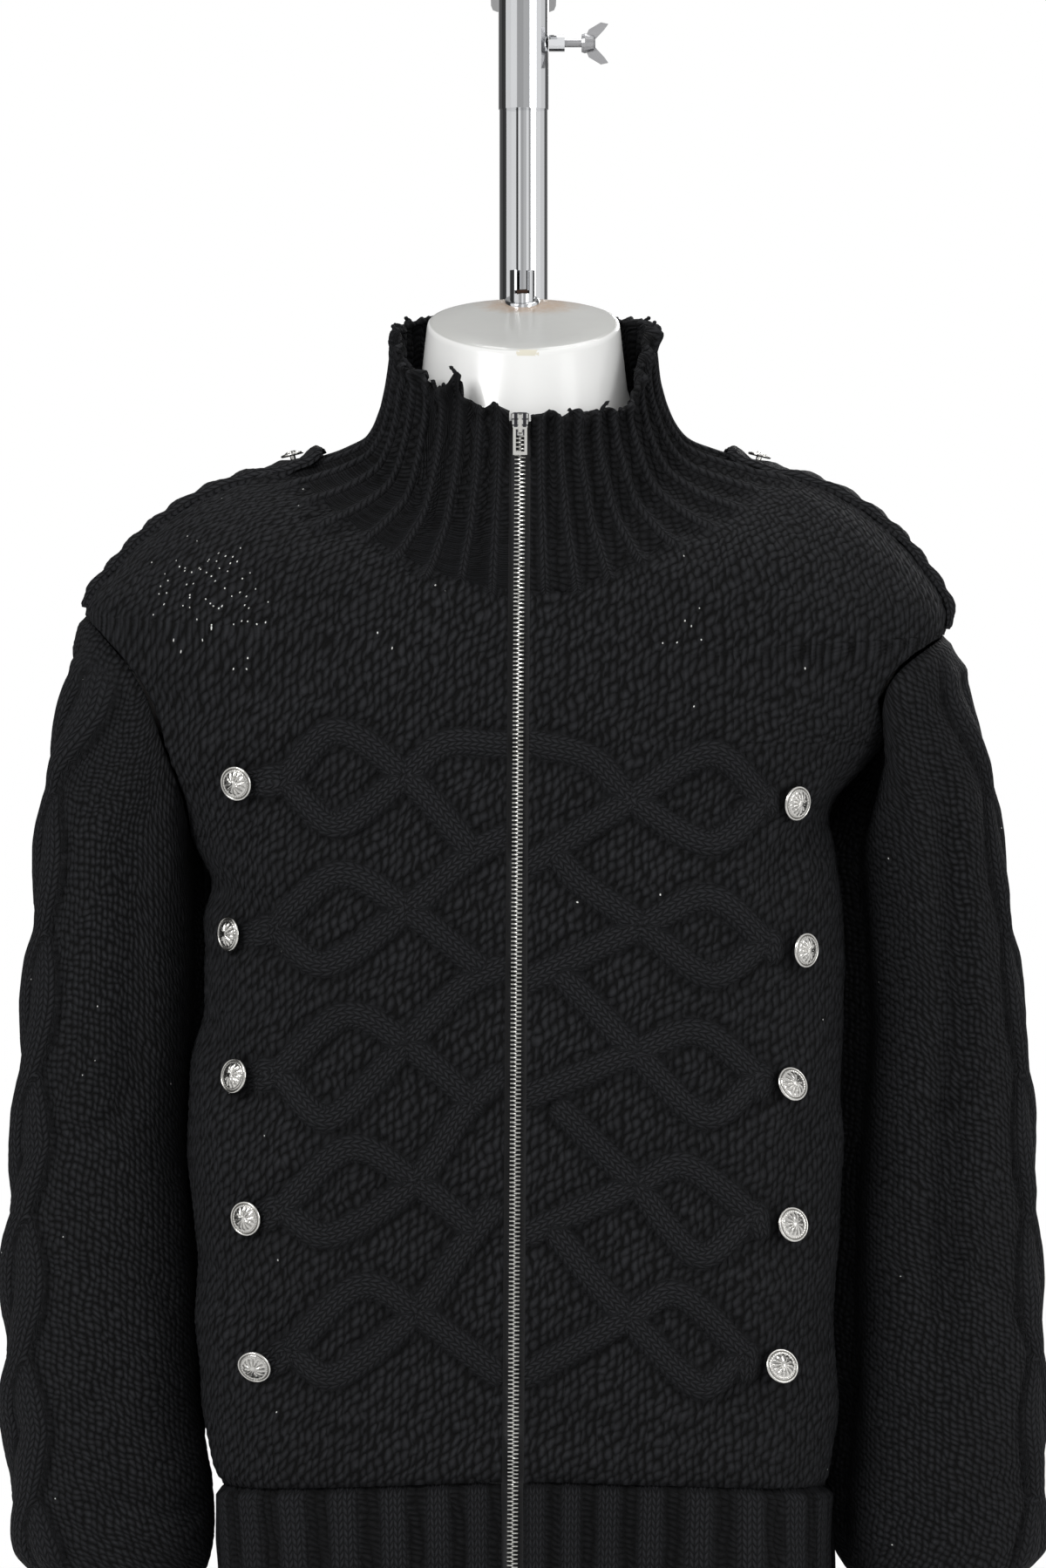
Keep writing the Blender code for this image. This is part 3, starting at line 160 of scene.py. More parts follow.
def bodyNormal(angle, along):
    step = 0.002  # what the skin's slope is read over
    roundIt = bodySkin(angle + step * 2, along) - bodySkin(angle - step * 2, along)
    upIt = bodySkin(angle, along + step) - bodySkin(angle, along - step)
    return roundIt.cross(upIt).normalized()


def bodyPoint(angle, along, out=0.0):
    return bodySkin(angle, along) + bodyNormal(angle, along) * out


def angleAt(across, along):
    # the angle where the body's front stands this far from the middle
    left, right, front = ringAt(along)[:3]
    square = ringAt(along)[7]
    share = min(abs(across) / (right if across > 0 else left), 0.999)
    return math.atan2(across, front * (1 - share ** square) ** (1 / square))


def zipX(z):
    return cloth["zipTopX"] - cloth["zipLean"] * (cloth["zipTopZ"] - z)


def zipEdge(side, along):
    z = bodySkin(0, along).z
    return angleAt(zipX(z) + signs[side] * cloth["zipOpen"], along)


def smooth(part):
    part = min(max(part, 0), 1)
    return part * part * (3 - 2 * part)


def bell(off, half):
    return math.exp(-(off / half) ** 2)


def evenly(low, high, count):
    return [low + (high - low) * index / count for index in range(count + 1)]


def roundAngle(point, along):
    # the angle round the body at which a point stands
    return math.atan2(point.x, ringAt(along)[8] - point.y)


def holeTurn(side, along):
    # how far round the armhole's edge this ring meets it, or None off the armhole
    hole = armholes[side]
    middle, half = (hole["under"] + hole["top"]) / 2, (hole["top"] - hole["under"]) / 2
    share = (along - middle) / half
    return math.acos(share) if abs(share) < 1 else None


def seamAngle(side, along, face):
    # the panel's outer edge: the side or shoulder seam, or the armhole between them
    turn = holeTurn(side, along)
    reach = armholes[side][face] * math.sin(turn) if turn is not None else 0
    return quarter - reach if face == "front" else quarter + reach


closeRows = {"count": 8, "turn": 0.045, "least": 0.00012}
uvScale = 10  # a UV of 1 is 100 mm of cloth
weldReach = 1e-5
fineWeld = 1e-6


def rowPlaces(low, high, step, sides):
    # even rows, and closer ones where an armhole's edge turns
    places = evenly(low, high, round((high - low) / step))
    for side in sides:
        hole = armholes[side]
        half = (hole["top"] - hole["under"]) / 2
        for index in range(1, closeRows["count"]):
            off = half * (1 - math.cos(index * closeRows["turn"]))
            places += [hole["under"] + off, hole["top"] - off]
        places += [hole["under"], hole["top"]]
    kept = []
    for place in sorted(places):
        if not kept or place - kept[-1] > closeRows["least"]:
            kept.append(place)
    return kept


# the small random waves of heavy hand-knit cloth: how deep, how close
clothWaves = ((0.0016, 13), (0.0008, 34), (0.0004, 90))


def unevenness(point, seed):
    # each piece looks up its own stretch of the waves
    spot = Vector((point.x, point.y, point.z)) + Vector((seed * 3.1, seed * 1.7, seed * 0.9))
    return sum(deep * noise.noise(spot * close) for deep, close in clothWaves)


def stitchLift(u, v, wide, tall):
    # rows of stitches, metres along and up the cloth
    return math.cos(fullTurn * (u / wide)) * math.cos(fullTurn * (v / tall))


def gridOf(work, columns, rows):
    # a grid of vertices, each with its column and row
    made = bmesh.ops.create_grid(work, x_segments=columns, y_segments=rows, size=0.5)["verts"]
    return [(v, round((v.co.x + 0.5) * columns), round((v.co.y + 0.5) * rows)) for v in made]


def putInScene(name, data):
    made = bpy.data.objects.new(name, data)
    bpy.context.scene.collection.objects.link(made)
    return made


def clothRuns(points, columns, anchor):
    # metres along each row from its anchor, and up the cloth from the first row
    us, vs = [], []
    for row in points:
        run = [0.0]
        for a, b in zip(row, row[1:]):
            run.append(run[-1] + (b - a).length)
        start = run[round(anchor * columns)]
        us.append([value - start for value in run])
    vs.append([0.0] * (columns + 1))
    for below, row in zip(points, points[1:]):
        # only what a row gains across itself counts as height up the cloth
        gains = []
        for i in range(columns + 1):
            ahead = (row[min(i + 1, columns)] - row[max(i - 1, 0)]).normalized()
            step = row[i] - below[i]
            gains.append((step - ahead * step.dot(ahead)).length)
        vs.append([value + gain for value, gain in zip(vs[-1], gains)])
    return us, vs


def knitPiece(name, columns, heights, place, dress, closed=False, anchor=0.0, wall=cloth["wall"]):
    # a sheet on a grid: place(s, row value) gives a point, and dress gives what stands out of
    # it and how it is knitted: (out, knit, run across, run along, worn, painted shade in the grooves)
    rows = len(heights) - 1
    points = [[place(i / columns, value) for i in range(columns + 1)] for value in heights]
    us, vs = clothRuns(points, columns, anchor)
    work = bmesh.new()
    layers = work.verts.layers.float
    lift, knit, worn, groove = [layers.new(layer) for layer in ("lift", "knit", "worn", "groove")]
    clothUv, runUv = work.loops.layers.uv.new("Cloth"), work.loops.layers.uv.new("Run")
    spots = {}
    for vert, i, j in gridOf(work, columns, rows):
        u, v = us[j][i], vs[j][i]
        vert.co = points[j][i]
        out, knitted, runAcross, runAlong, wear, dark = dress(i / columns, heights[j], points[j][i], u, v)
        vert[lift], vert[knit], vert[worn], vert[groove] = out, knitted, wear, min(dark, 1)
        spots[vert] = tuple(
            (across * uvScale, along * uvScale) for across, along in ((u, v), (runAcross, runAlong))
        )
    for face in work.faces:
        for loop in face.loops:
            loop[clothUv].uv, loop[runUv].uv = spots[loop.vert]
    if closed:
        bmesh.ops.remove_doubles(work, verts=work.verts, dist=weldReach)
    work.normal_update()
    moves = [(vert, vert.normal * vert[lift]) for vert in work.verts]
    for vert, move in moves:
        vert.co += move
    layers.remove(layers["lift"])
    work.normal_update()
    mesh = bpy.data.meshes.new(name)
    work.to_mesh(mesh)
    work.free()
    mesh.shade_smooth()
    made = putInScene(name, mesh)
    thick = made.modifiers.new("thickness", "SOLIDIFY")
    thick.thickness = wall
    thick.offset = -1
    thick.use_rim = True
    return made


def finishPiece(made, material, node):
    made.data.materials.append(material)
    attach(made, bodyName)
    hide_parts(node)


def meshObject(name, work, sharp=None):
    bmesh.ops.recalc_face_normals(work, faces=work.faces)
    mesh = bpy.data.meshes.new(name)
    work.to_mesh(mesh)
    work.free()
    mesh.shade_smooth()
    if sharp:
        mesh.set_sharp_from_angle(angle=math.radians(sharp))
    return putInScene(name, mesh)


class Nodes:
    # a node tree and the few node kinds that a pattern is put together from
    def __init__(self, tree):
        self.tree = tree

    def node(self, kind, **settings):
        made = self.tree.nodes.new(kind)
        for key, value in settings.items():
            setattr(made, key, value)
        return made

    def feed(self, socket, value):
        if isinstance(value, bpy.types.NodeSocket):
            self.tree.links.new(value, socket)
        else:
            socket.default_value = value

    def calc(self, operation, *values, clamp=False):
        made = self.node("ShaderNodeMath", operation=operation, use_clamp=clamp)
        for socket, value in zip(made.inputs, values):
            self.feed(socket, value)
        return made.outputs[0]

    def times(self, *values):
        total = values[0]
        for value in values[1:]:
            total = self.calc("MULTIPLY", total, value)
        return total

    def plus(self, first, second):
        return self.calc("ADD", first, second)

    def minus(self, first, second, clamp=False):
        return self.calc("SUBTRACT", first, second, clamp=clamp)

    def over(self, first, second):
        return self.calc("DIVIDE", first, second)

    def parts(self, vector):
        split = self.node("ShaderNodeSeparateXYZ")
        self.feed(split.inputs[0], vector)
        return tuple(split.outputs)

    def uv(self, name):
        x, y, _ = self.parts(self.node("ShaderNodeUVMap", uv_map=name).outputs[0])
        return self.times(x, 1000.0 / uvScale), self.times(y, 1000.0 / uvScale)  # millimetres

    def objectPlace(self):
        return self.node("ShaderNodeTexCoord").outputs["Object"]

    def attribute(self, name):
        return self.node("ShaderNodeAttribute", attribute_name=name).outputs["Fac"]

    def vector(self, x, y, z=0.0):
        made = self.node("ShaderNodeCombineXYZ")
        for socket, value in zip(made.inputs, (x, y, z)):
            self.feed(socket, value)
        return made.outputs[0]

    def noise(self, vector, scale, detail=2.0, rough=0.5):
        made = self.node("ShaderNodeTexNoise")
        self.feed(made.inputs["Vector"], vector)
        made.inputs["Scale"].default_value = scale
        made.inputs["Detail"].default_value = detail
        made.inputs["Roughness"].default_value = rough
        return made.outputs["Fac"]

    def cells(self, vector, scatter):
        made = self.node("ShaderNodeTexVoronoi", voronoi_dimensions="2D")
        self.feed(made.inputs["Vector"], vector)
        made.inputs["Scale"].default_value = 1.0
        made.inputs["Randomness"].default_value = scatter
        split = self.node("ShaderNodeSeparateColor")
        self.feed(split.inputs[0], made.outputs["Color"])
        return made.outputs["Distance"], split.outputs[0]

    def blend(self, share, first, second):
        made = self.node("ShaderNodeMix", data_type="RGBA")
        self.feed(made.inputs["Factor"], share)
        for socket, colour in zip(made.inputs[6:8], (first, second)):
            self.feed(socket, (*colour, 1) if isinstance(colour, tuple) else colour)
        return made.outputs[2]

    def lerp(self, share, first, second):
        made = self.node("ShaderNodeMix", data_type="FLOAT")
        self.feed(made.inputs["Factor"], share)
        self.feed(made.inputs[2], first)
        self.feed(made.inputs[3], second)
        return made.outputs[0]

    def band(self, value, low, high):
        made = self.node("ShaderNodeMapRange", interpolation_type="SMOOTHSTEP")
        self.feed(made.inputs["Value"], value)
        made.inputs["From Min"].default_value = low
        made.inputs["From Max"].default_value = high
        return made.outputs[0]


class Look(Nodes):
    # a material with its one shader
    def __init__(self, name, colour, rough, metal=0.0):
        self.material = bpy.data.materials.new(name)
        self.material.use_nodes = True
        super().__init__(self.material.node_tree)
        self.shader = self.tree.nodes["Principled BSDF"]
        self.give("Base Color", (*colour, 1))
        self.give("Roughness", rough)
        self.give("Metallic", metal)

    def give(self, name, value):
        self.feed(self.shader.inputs[name], value)

    def bump(self, height, distance):
        made = self.node("ShaderNodeBump")
        self.feed(made.inputs["Height"], height)
        made.inputs["Distance"].default_value = distance
        made.inputs["Strength"].default_value = 1.0
        self.give("Normal", made.outputs[0])


knitLook = {
    "deep": (0.0009, 0.0009, 0.0010),  # the shaded bottom between stitches
    "high": (0.0170, 0.0175, 0.0196),
    "speck": (0.62, 0.62, 0.60),  # the white form seen through a hole
    "speckHalf": 0.085,
    "rough": 0.82,
    "specular": 0.12,
    "sheenRough": 0.45,
    "sheenTint": (0.10, 0.105, 0.12, 1),
    "fuzz": 0.10,
    "bumpDepth": 0.0024,
    "waleWide": 5.2,  # millimetres
    "stitchLong": 4.6,
    "stitchRound": 0.48,
    "mossReach": 0.58,
    "mossRound": 1.1,
    "mossUneven": (0.72, 1.0),
    # rows that wander: how close the waves are, how far they shift in millimetres
    "wanderAcross": (0.045, 9.0),
    "wanderUp": (0.061, 7.0),
    "fibre": (1100.0, 0.16),  # how fine, how high
    "strand": (420.0, 0.22),
    "fibreShade": (0.62, 1.30),
    "patchScale": 9.0,
    "patchShade": (0.75, 1.2),
    "grooveShade": 0.12,
}


def mossPattern(look, x, y, wide, tall, scatter, lean):
    # round stitches, each a little off its place
    a = look.over(x, wide)
    if lean:
        # every other column steps up by half a stitch, and each stitch leans a little
        column = look.times(look.calc("FLOORED_MODULO", look.calc("FLOOR", a), 2.0), 0.5)
        slant = look.times(look.minus(look.calc("FRACT", a), 0.5), lean)
        b = look.minus(look.plus(look.over(y, tall), column), slant)
    else:
        b = look.plus(look.over(y, tall), look.times(a, 0.5))
    far, chance = look.cells(look.vector(a, b), scatter)
    reach = look.over(far, knitLook["mossReach"])
    moss = look.minus(1.0, look.times(reach, reach), clamp=True)
    return look.times(moss, look.lerp(chance, *knitLook["mossUneven"]))


def walePattern(look):
    # plain wales of V-shaped stitches, along a rib or a cable's strand
    across, along = look.uv("Run")
    wale = look.calc("FRACT", look.plus(look.over(across, knitLook["waleWide"]), 0.5))
    leg = look.calc("ABSOLUTE", look.minus(wale, 0.5))
    step = look.plus(look.over(along, knitLook["stitchLong"]), look.times(leg, 1.5))
    part = look.calc("MULTIPLY_ADD", look.calc("FRACT", step), 2.0, -1.0)
    stroke = look.minus(1.0, look.times(part, part))
    middle = look.calc("MULTIPLY_ADD", leg, 4.0, -1.0)
    plump = look.minus(1.0, look.times(middle, middle), clamp=True)
    return look.calc("POWER", look.times(stroke, plump), knitLook["stitchRound"])


def knitMaterial(name, wide, tall, scatter, lean):
    look = Look(name, knitLook["high"], knitLook["rough"])
    x, y = look.uv("Cloth")
    flatPlace = look.vector(x, y)
    acrossScale, acrossShift = knitLook["wanderAcross"]
    upScale, upShift = knitLook["wanderUp"]
    wander = look.noise(flatPlace, acrossScale, 2.0)
    x = look.plus(x, look.calc("MULTIPLY_ADD", wander, acrossShift, -acrossShift / 2))
    wander = look.noise(flatPlace, upScale, 1.0)
    y = look.plus(y, look.calc("MULTIPLY_ADD", wander, upShift, -upShift / 2))
    moss = mossPattern(look, x, y, wide, tall, scatter, lean)
    height = look.lerp(look.attribute("knit"), moss, walePattern(look))
    fibreScale, fibreHigh = knitLook["fibre"]
    strandScale, strandHigh = knitLook["strand"]
    fibre = look.noise(look.objectPlace(), fibreScale, 3.0, 0.65)
    strands = look.noise(look.objectPlace(), strandScale, 2.0, 0.6)
    relief = look.plus(height, look.times(fibre, fibreHigh))
    look.bump(look.plus(relief, look.times(strands, strandHigh)), knitLook["bumpDepth"])
    patches = look.noise(look.objectPlace(), knitLook["patchScale"], 3.0)
    # painted shade: the colour falls to the deep colour down the stitches' sides and where the groove
    # attribute paints shade; fibre and patch noise are the yarn's own uneven tone
    shade = look.times(
        look.calc("POWER", height, knitLook["mossRound"]),
        look.lerp(look.attribute("groove"), 1.0, knitLook["grooveShade"]),
        look.lerp(fibre, *knitLook["fibreShade"]),
        look.lerp(patches, *knitLook["patchShade"]),
    )
    colour = look.blend(shade, knitLook["deep"], knitLook["high"])
    # small holes at single stitches, more of them where the cloth is worn
    spot, pick = look.cells(look.vector(look.over(x, wide), look.over(y, tall)), 1.0)
    small = look.calc("LESS_THAN", spot, knitLook["speckHalf"])
    hole = look.times(small, look.calc("LESS_THAN", pick, look.attribute("worn")))
    look.give("Base Color", look.blend(hole, colour, knitLook["speck"]))
    look.give("Specular IOR Level", knitLook["specular"])
    look.give("Sheen Weight", knitLook["fuzz"])
    look.give("Sheen Roughness", knitLook["sheenRough"])
    look.give("Sheen Tint", knitLook["sheenTint"])
    return look.material


# stitch width and height in millimetres, how scattered, how leaning
bodyKnit = knitMaterial("black_moss_knit", 5.0, 6.8, 0.34, 0.45)
sleeveKnit = knitMaterial("black_fine_moss_knit", 4.6, 4.0, 0.28, 0.0)
ribKnit = knitMaterial("black_rib_knit", 6.4, 3.8, 0.22, 0.0)
print("knit materials made")

# The cable lattice beside the zip, a row for each button: millimetres out from the zip
# line and up from the floor. Two strands leave a button at its neck, pass over and under
# a lens and meet; then one falls and one rises to the zip.
latticeColumns = (
    "buttonOut", "buttonZ", "neckOut", "neckZ", "topOut", "topZ", "bottomOut", "bottomZ",
    "meetOut", "meetZ", "midOut", "midZ", "riseOut", "riseZ", "fallOut", "fallZ",
)
latticeRows = {
    "left": (
        (171.5, 645.5, 141, 647, 110, 676, 109, 620, 68, 650, 43, 669, 9, 668, 26, 603),
        (175.0, 553.5, 148, 557, 108, 590, 115, 536, 66, 569, 30, 600, 9, 612, 25, 536),
        (172.0, 467.0, 144, 470, 104, 505, 112, 443, 66, 488, 34, 521, 10, 534, 25, 453),
        (165.5, 382.0, 140, 388, 100, 425, 111, 372, 60, 405, 33, 445, 12, 468, 24, 376),
        (161.5, 293.5, 136, 301, 94, 341, 108, 287, 59, 326, 33, 363, 14, 388, 12, 290),
    ),
    "right": (
        (162.5, 633.5, 148, 636, 116, 663, 116, 609, 69, 636, 44, 660, 9, 669, 9, 597),
        (167.5, 544.0, 150, 549, 116, 576, 117, 529, 75, 559, 40, 584, 26, 599, 9, 527),
        (160.0, 461.0, 146, 467, 110, 495, 114, 444, 72, 483, 51, 505, 28, 529, 9, 457),
        (160.5, 376.5, 142, 384, 103, 414, 111, 360, 73, 403, 52, 424, 29, 447, 10, 374),
        (154.5, 289.5, 138, 300, 99, 336, 112, 281, 69, 323, 52, 341, 22, 378, 10, 289),
    ),
}
lattice = {
    side: [dict(zip(latticeColumns, row)) for row in rows] for side, rows in latticeRows.items()
}
cable = {
    "half": 0.0086, "height": 0.0040, "round": 0.62, "start": 13, "step": 0.0015,
    "overShare": 0.16, "overTurns": 62, "ditchDeep": 0.0013, "ditchHalf": 0.0035,
    "shade": 0.55, "shadeHalf": 0.0022,
}


def curveThrough(points, step):
    # points along a smooth curve through the given ones
    knots = [points[0] * 2 - points[1], *points, points[-1] * 2 - points[-2]]
    run = []
    for before, start, end, after in zip(knots, knots[1:], knots[2:], knots[3:]):
        count = max(1, round((end - start).length / step))
        for index in range(count):
            t = index / count
            run.append(0.5 * (
                2 * start + (end - before) * t
                + (2 * before - 5 * start + 4 * end - after) * t * t
                + (3 * start - before - 3 * end + after) * t ** 3
            ))
    run.append(points[-1].copy())
    return run


def latticeField(side):
    # finds the nearest cable strand: the place across it, how far off its middle, how far
    # along it, and which of a row's two strands it is
    entries = []
    for row in lattice[side]:
        for number, names in enumerate((("top", "meet", "fall"), ("bottom", "meet", "mid", "rise"))):
            outs = [row["buttonOut"] - cable["start"], row["neckOut"]]
            outs += [row[f"{name}Out"] for name in names]
            levels = [row["buttonZ"], row["neckZ"]] + [row[f"{name}Z"] for name in names]
            knots = []
            for out, level in zip(outs, levels):
                knots.append(Vector((zipX(level / 1000) + signs[side] * out / 1000, level / 1000, 0)))
            run = curveThrough(knots, cable["step"])
            length = 0.0
            for index, point in enumerate(run):
                ahead = (run[min(index + 1, len(run) - 1)] - run[max(index - 1, 0)]).normalized()
                if index:
                    length += (point - run[index - 1]).length
                entries.append((point, ahead, length, number))
    tree = kdtree.KDTree(len(entries))
    for index, entry in enumerate(entries):
        tree.insert(entry[0], index)
    tree.balance()

    def nearest(x, z):
        _, index, _ = tree.find((x, z, 0))
        point, ahead, length, number = entries[index]
        off = Vector((x, z, 0)) - point
        return off.x * -ahead.y + off.y * ahead.x, off.length, length + off.dot(ahead), number

    return nearest


def buttonPlaces(side):
    return [(signs[side] * row["buttonOut"] / 1000, row["buttonZ"] / 1000) for row in lattice[side]]


# Soft folds in the cloth: a line from (x, z) to (x, z), how deep and how wide. They are
# placed one by one, uneven, and the back has its own.
foldColumns = ("x1", "z1", "x2", "z2", "deep", "half")
foldRows = {
    "front": (
        (-0.205, 0.600, -0.150, 0.545, 0.0050, 0.012),
        (-0.200, 0.520, -0.165, 0.430, 0.0035, 0.013),
        (-0.192, 0.360, -0.120, 0.245, 0.0032, 0.015),
        (0.190, 0.640, 0.150, 0.575, 0.0048, 0.012),
        (0.188, 0.470, 0.160, 0.380, 0.0035, 0.013),
        (0.180, 0.330, 0.105, 0.238, 0.0032, 0.014),
        (-0.225, 0.690, -0.120, 0.715, 0.0030, 0.016),
        (0.215, 0.700, 0.110, 0.725, 0.0030, 0.016),
        (-0.060, 0.262, 0.055, 0.247, 0.0022, 0.010),
    ),
    "back": (
        (-0.190, 0.610, -0.090, 0.520, 0.0055, 0.016),
        (0.185, 0.640, 0.100, 0.540, 0.0050, 0.015),
        (-0.170, 0.470, -0.040, 0.425, 0.0050, 0.018),
        (0.175, 0.430, 0.045, 0.385, 0.0052, 0.018),
        (-0.160, 0.330, -0.020, 0.300, 0.0055, 0.016),
        (0.150, 0.310, 0.015, 0.262, 0.0050, 0.014),
        (-0.060, 0.760, -0.075, 0.640, 0.0030, 0.020),
        (0.070, 0.765, 0.085, 0.650, 0.0030, 0.020),
        (-0.120, 0.255, 0.130, 0.248, 0.0035, 0.009),
    ),
}
folds = {face: [dict(zip(foldColumns, row)) for row in rows] for face, rows in foldRows.items()}


def foldDepth(face, x, z):
    total = 0.0
    for fold in folds[face]:
        dx, dz = fold["x2"] - fold["x1"], fold["z2"] - fold["z1"]
        long2 = dx * dx + dz * dz
        part = ((x - fold["x1"]) * dx + (z - fold["z1"]) * dz) / long2
        off = ((x - fold["x1"]) * dz - (z - fold["z1"]) * dx) / math.sqrt(long2)
        off += 0.006 * math.sin(part * 5 + fold["x1"] * 40)
        if abs(off) < fold["half"] * 3 and -0.3 < part < 1.3:
            fade = smooth((part + 0.3) / 0.5) * smooth((1.3 - part) / 0.5)
            trough = bell(off, fold["half"])
            ridge = bell(off - fold["half"] * 1.8, fold["half"])
            total += fold["deep"] * fade * (trough - 0.45 * ridge)
    return total


def edgeSink(distance, deep=0.0012, wide=0.005):
    # cloth dips into a seam
    return -deep * (1 - smooth(distance / wide))


# Where the white form shows through loose stitches: x, z, how far round, how much.
wornSpots = (
    (-0.190, 0.760, 0.036, 0.55), (-0.170, 0.735, 0.026, 0.42), (-0.112, 0.825, 0.012, 0.5),
    (-0.052, 0.762, 0.006, 0.95), (-0.090, 0.720, 0.020, 0.10), (0.105, 0.745, 0.030, 0.07),
)
leastWear = 0.0022


def wearAt(x, z):
    most = leastWear
    for spotX, spotZ, reach, much in wornSpots:
        near = math.hypot(x - spotX, z - spotZ) / reach
        most = max(most, much * (1 - smooth(near - 0.3)))
    return most


frontPiece = {
    "columns": 132, "rowStep": 0.0026, "width": 0.30, "buttonClear": 0.0065, "buttonFade": 0.010,
    "cablesEnd": 0.72, "zipBand": 0.0012, "zipBandWide": 0.012, "zipEdgeDip": 0.0010,
    "ribShade": 0.4, "seamShade": 0.3, "seamShadeWide": 0.003,
}
backPiece = {
    "columns": 176, "rowStep": 0.0033, "width": 0.55, "wear": 0.002,
    "ribShade": 0.4, "seamShade": 0.7, "seamShadeWide": 0.004,
}
collarPiece = {
    "ribs": 38, "perRib": 10, "rows": 66, "height": 0.0056, "hollow": 0.30, "crestHalf": 0.20,
    "waleWide": 0.0165, "tuckUnder": 0.007, "footDip": 0.0022, "length": 0.13,
    "endDip": (0.0024, 0.003), "shade": 0.6,
    # the torn end: where it starts to lean, how far in large and small waves, and its loops
    "raggedFrom": 0.82, "lean": 0.0050, "leanOut": 0.0012, "nicks": 0.0022,
    "loopsFrom": 0.90, "loops": 0.0020,
}
# where the collar's ribs end in the yoke, below the neckline
ribTails = {"drop": 0.010, "swing": 0.008, "step": 0.004, "fade": 0.010}


def ribCrest(share):
    # a collar rib is one raised wale with a broad hollow beside it
    off = (share * collarPiece["ribs"]) % 1 - 0.5
    return bell(off, collarPiece["crestHalf"]), off


def collarSpan(along):
    # the angles from the right front's zip edge round to the left one's
    return zipEdge("right", along), fullTurn + zipEdge("left", along)


def collarShare(angle, along):
    # how far round the collar an angle of the body lies
    start, end = collarSpan(along)
    return ((angle if angle > 0 else angle + fullTurn) - start) / (end - start)


def ribTail(share, along):
    # the collar's ribs run on into the yoke and end at uneven places
    crest, off = ribCrest(share)
    rib = math.floor(share * collarPiece["ribs"])
    end = cloth["neckline"] - ribTails["drop"] - ribTails["swing"] * (0.5 + 0.5 * math.sin(rib * 2.4))
    end -= ribTails["step"] * (rib % 3)
    fade = smooth((along - end) / ribTails["fade"])
    return fade * crest, fade, off


def yokeRibs(point, along):
    # the ribs at a point of the body: how far they rise, how much they show, where across one
    tail, shown, off = ribTail(collarShare(roundAngle(point, along), along), along)
    rise = collarPiece["height"] * (tail - collarPiece["hollow"] * shown)
    return tail, shown, off * collarPiece["waleWide"], rise


def fromZip(side, s):
    # a share of a piece's width, counted from the zip
    return s if side == "right" else 1 - s


def panelRows(rowStep, sides):
    inset = cloth["gap"] / 2
    return rowPlaces(cloth["hemTop"] + inset, cloth["neckline"] - inset, rowStep, sides)


def mossLift(u, v):
    return cloth["stitchDeep"] * stitchLift(u, v, cloth["stitchWide"], cloth["stitchTall"])


def makeFront(side):
    sign = signs[side]
    values = frontPiece
    nearest = latticeField(side)
    buttons = buttonPlaces(side)
    heights = panelRows(values["rowStep"], (side,))

    def place(s, along):
        start = zipEdge(side, along)
        end = sign * (seamAngle(side, along, "front") - cloth["seamHalf"])
        return bodySkin(start + (end - start) * fromZip(side, s), along)

    def dress(s, along, point, u, v):
        part = fromZip(side, s)
        off, far, run, number = nearest(point.x, point.z)
        clear = min(math.hypot(point.x - x, point.z - z) for x, z in buttons)
        seat = smooth((clear - values["buttonClear"]) / values["buttonFade"])
        cables = 1 if along < values["cablesEnd"] else 0
        share = max(0.0, 1 - (far / cable["half"]) ** 2)
        band = share ** cable["round"] * cables
        # the strand that passes over at the meeting stands a little higher
        over = 1 + cable["overShare"] * math.sin(run * cable["overTurns"] + number * 3)
        out = cable["height"] * band * over * seat
        out -= cable["ditchDeep"] * bell(far - cable["half"] * 1.22, cable["ditchHalf"]) * cables
        beside = cable["shade"] * bell(far - cable["half"] * 1.08, cable["shadeHalf"]) * cables
        out += unevenness(point, 1 + sign) - foldDepth("front", point.x, point.z)
        out += mossLift(u, v) * (1 - band)
        out += edgeSink((1 - part) * values["width"]) + edgeSink(along - heights[0], *cloth["hemDip"])
        out += values["zipBand"] * (1 - smooth(part * values["width"] / values["zipBandWide"]))
        out -= values["zipEdgeDip"] * (part < 0.004)
        knitted = smooth(band * 2.2)
        tail, shown, ribOff, rise = yokeRibs(point, along)
        if shown > 0:
            out += rise
            knitted, off, run = tail, ribOff, along
        wear = wearAt(point.x, point.z) * (1 - knitted)
        seam = 1 - smooth((1 - part) * values["width"] / values["seamShadeWide"])
        dark = beside + values["ribShade"] * (shown - tail) + values["seamShade"] * seam
        return out, knitted, off, run, wear, dark

    made = knitPiece(
        f"knit_front_{side}", values["columns"], heights, place, dress, anchor=fromZip(side, 0.0),
    )
    finishPiece(made, bodyKnit, f"front_{side}")
    return made


def makeBack():
    values = backPiece
    heights = panelRows(values["rowStep"], ("left", "right"))

    def place(s, along):
        start = seamAngle("right", along, "back") + cloth["seamHalf"]
        end = fullTurn - seamAngle("left", along, "back") - cloth["seamHalf"]
        return bodySkin(start + (end - start) * s, along)

    def dress(s, along, point, u, v):
        toSeam = min(s, 1 - s) * values["width"]
        out = unevenness(point, 5) - foldDepth("back", point.x, point.z) + mossLift(u, v)
        out += edgeSink(toSeam) + edgeSink(along - heights[0], *cloth["hemDip"])
        tail, shown, ribOff, rise = yokeRibs(point, along)
        seam = 1 - smooth(toSeam / values["seamShadeWide"])
        dark = values["ribShade"] * (shown - tail) + values["seamShade"] * seam
        return out + rise, tail, ribOff, along, values["wear"], dark

    made = knitPiece("knit_back", values["columns"], heights, place, dress, anchor=0.5)
    finishPiece(made, bodyKnit, "back")
    return made


knitFronts = {side: makeFront(side) for side in signs}
knitBack = makeBack()
print("body panels knitted")

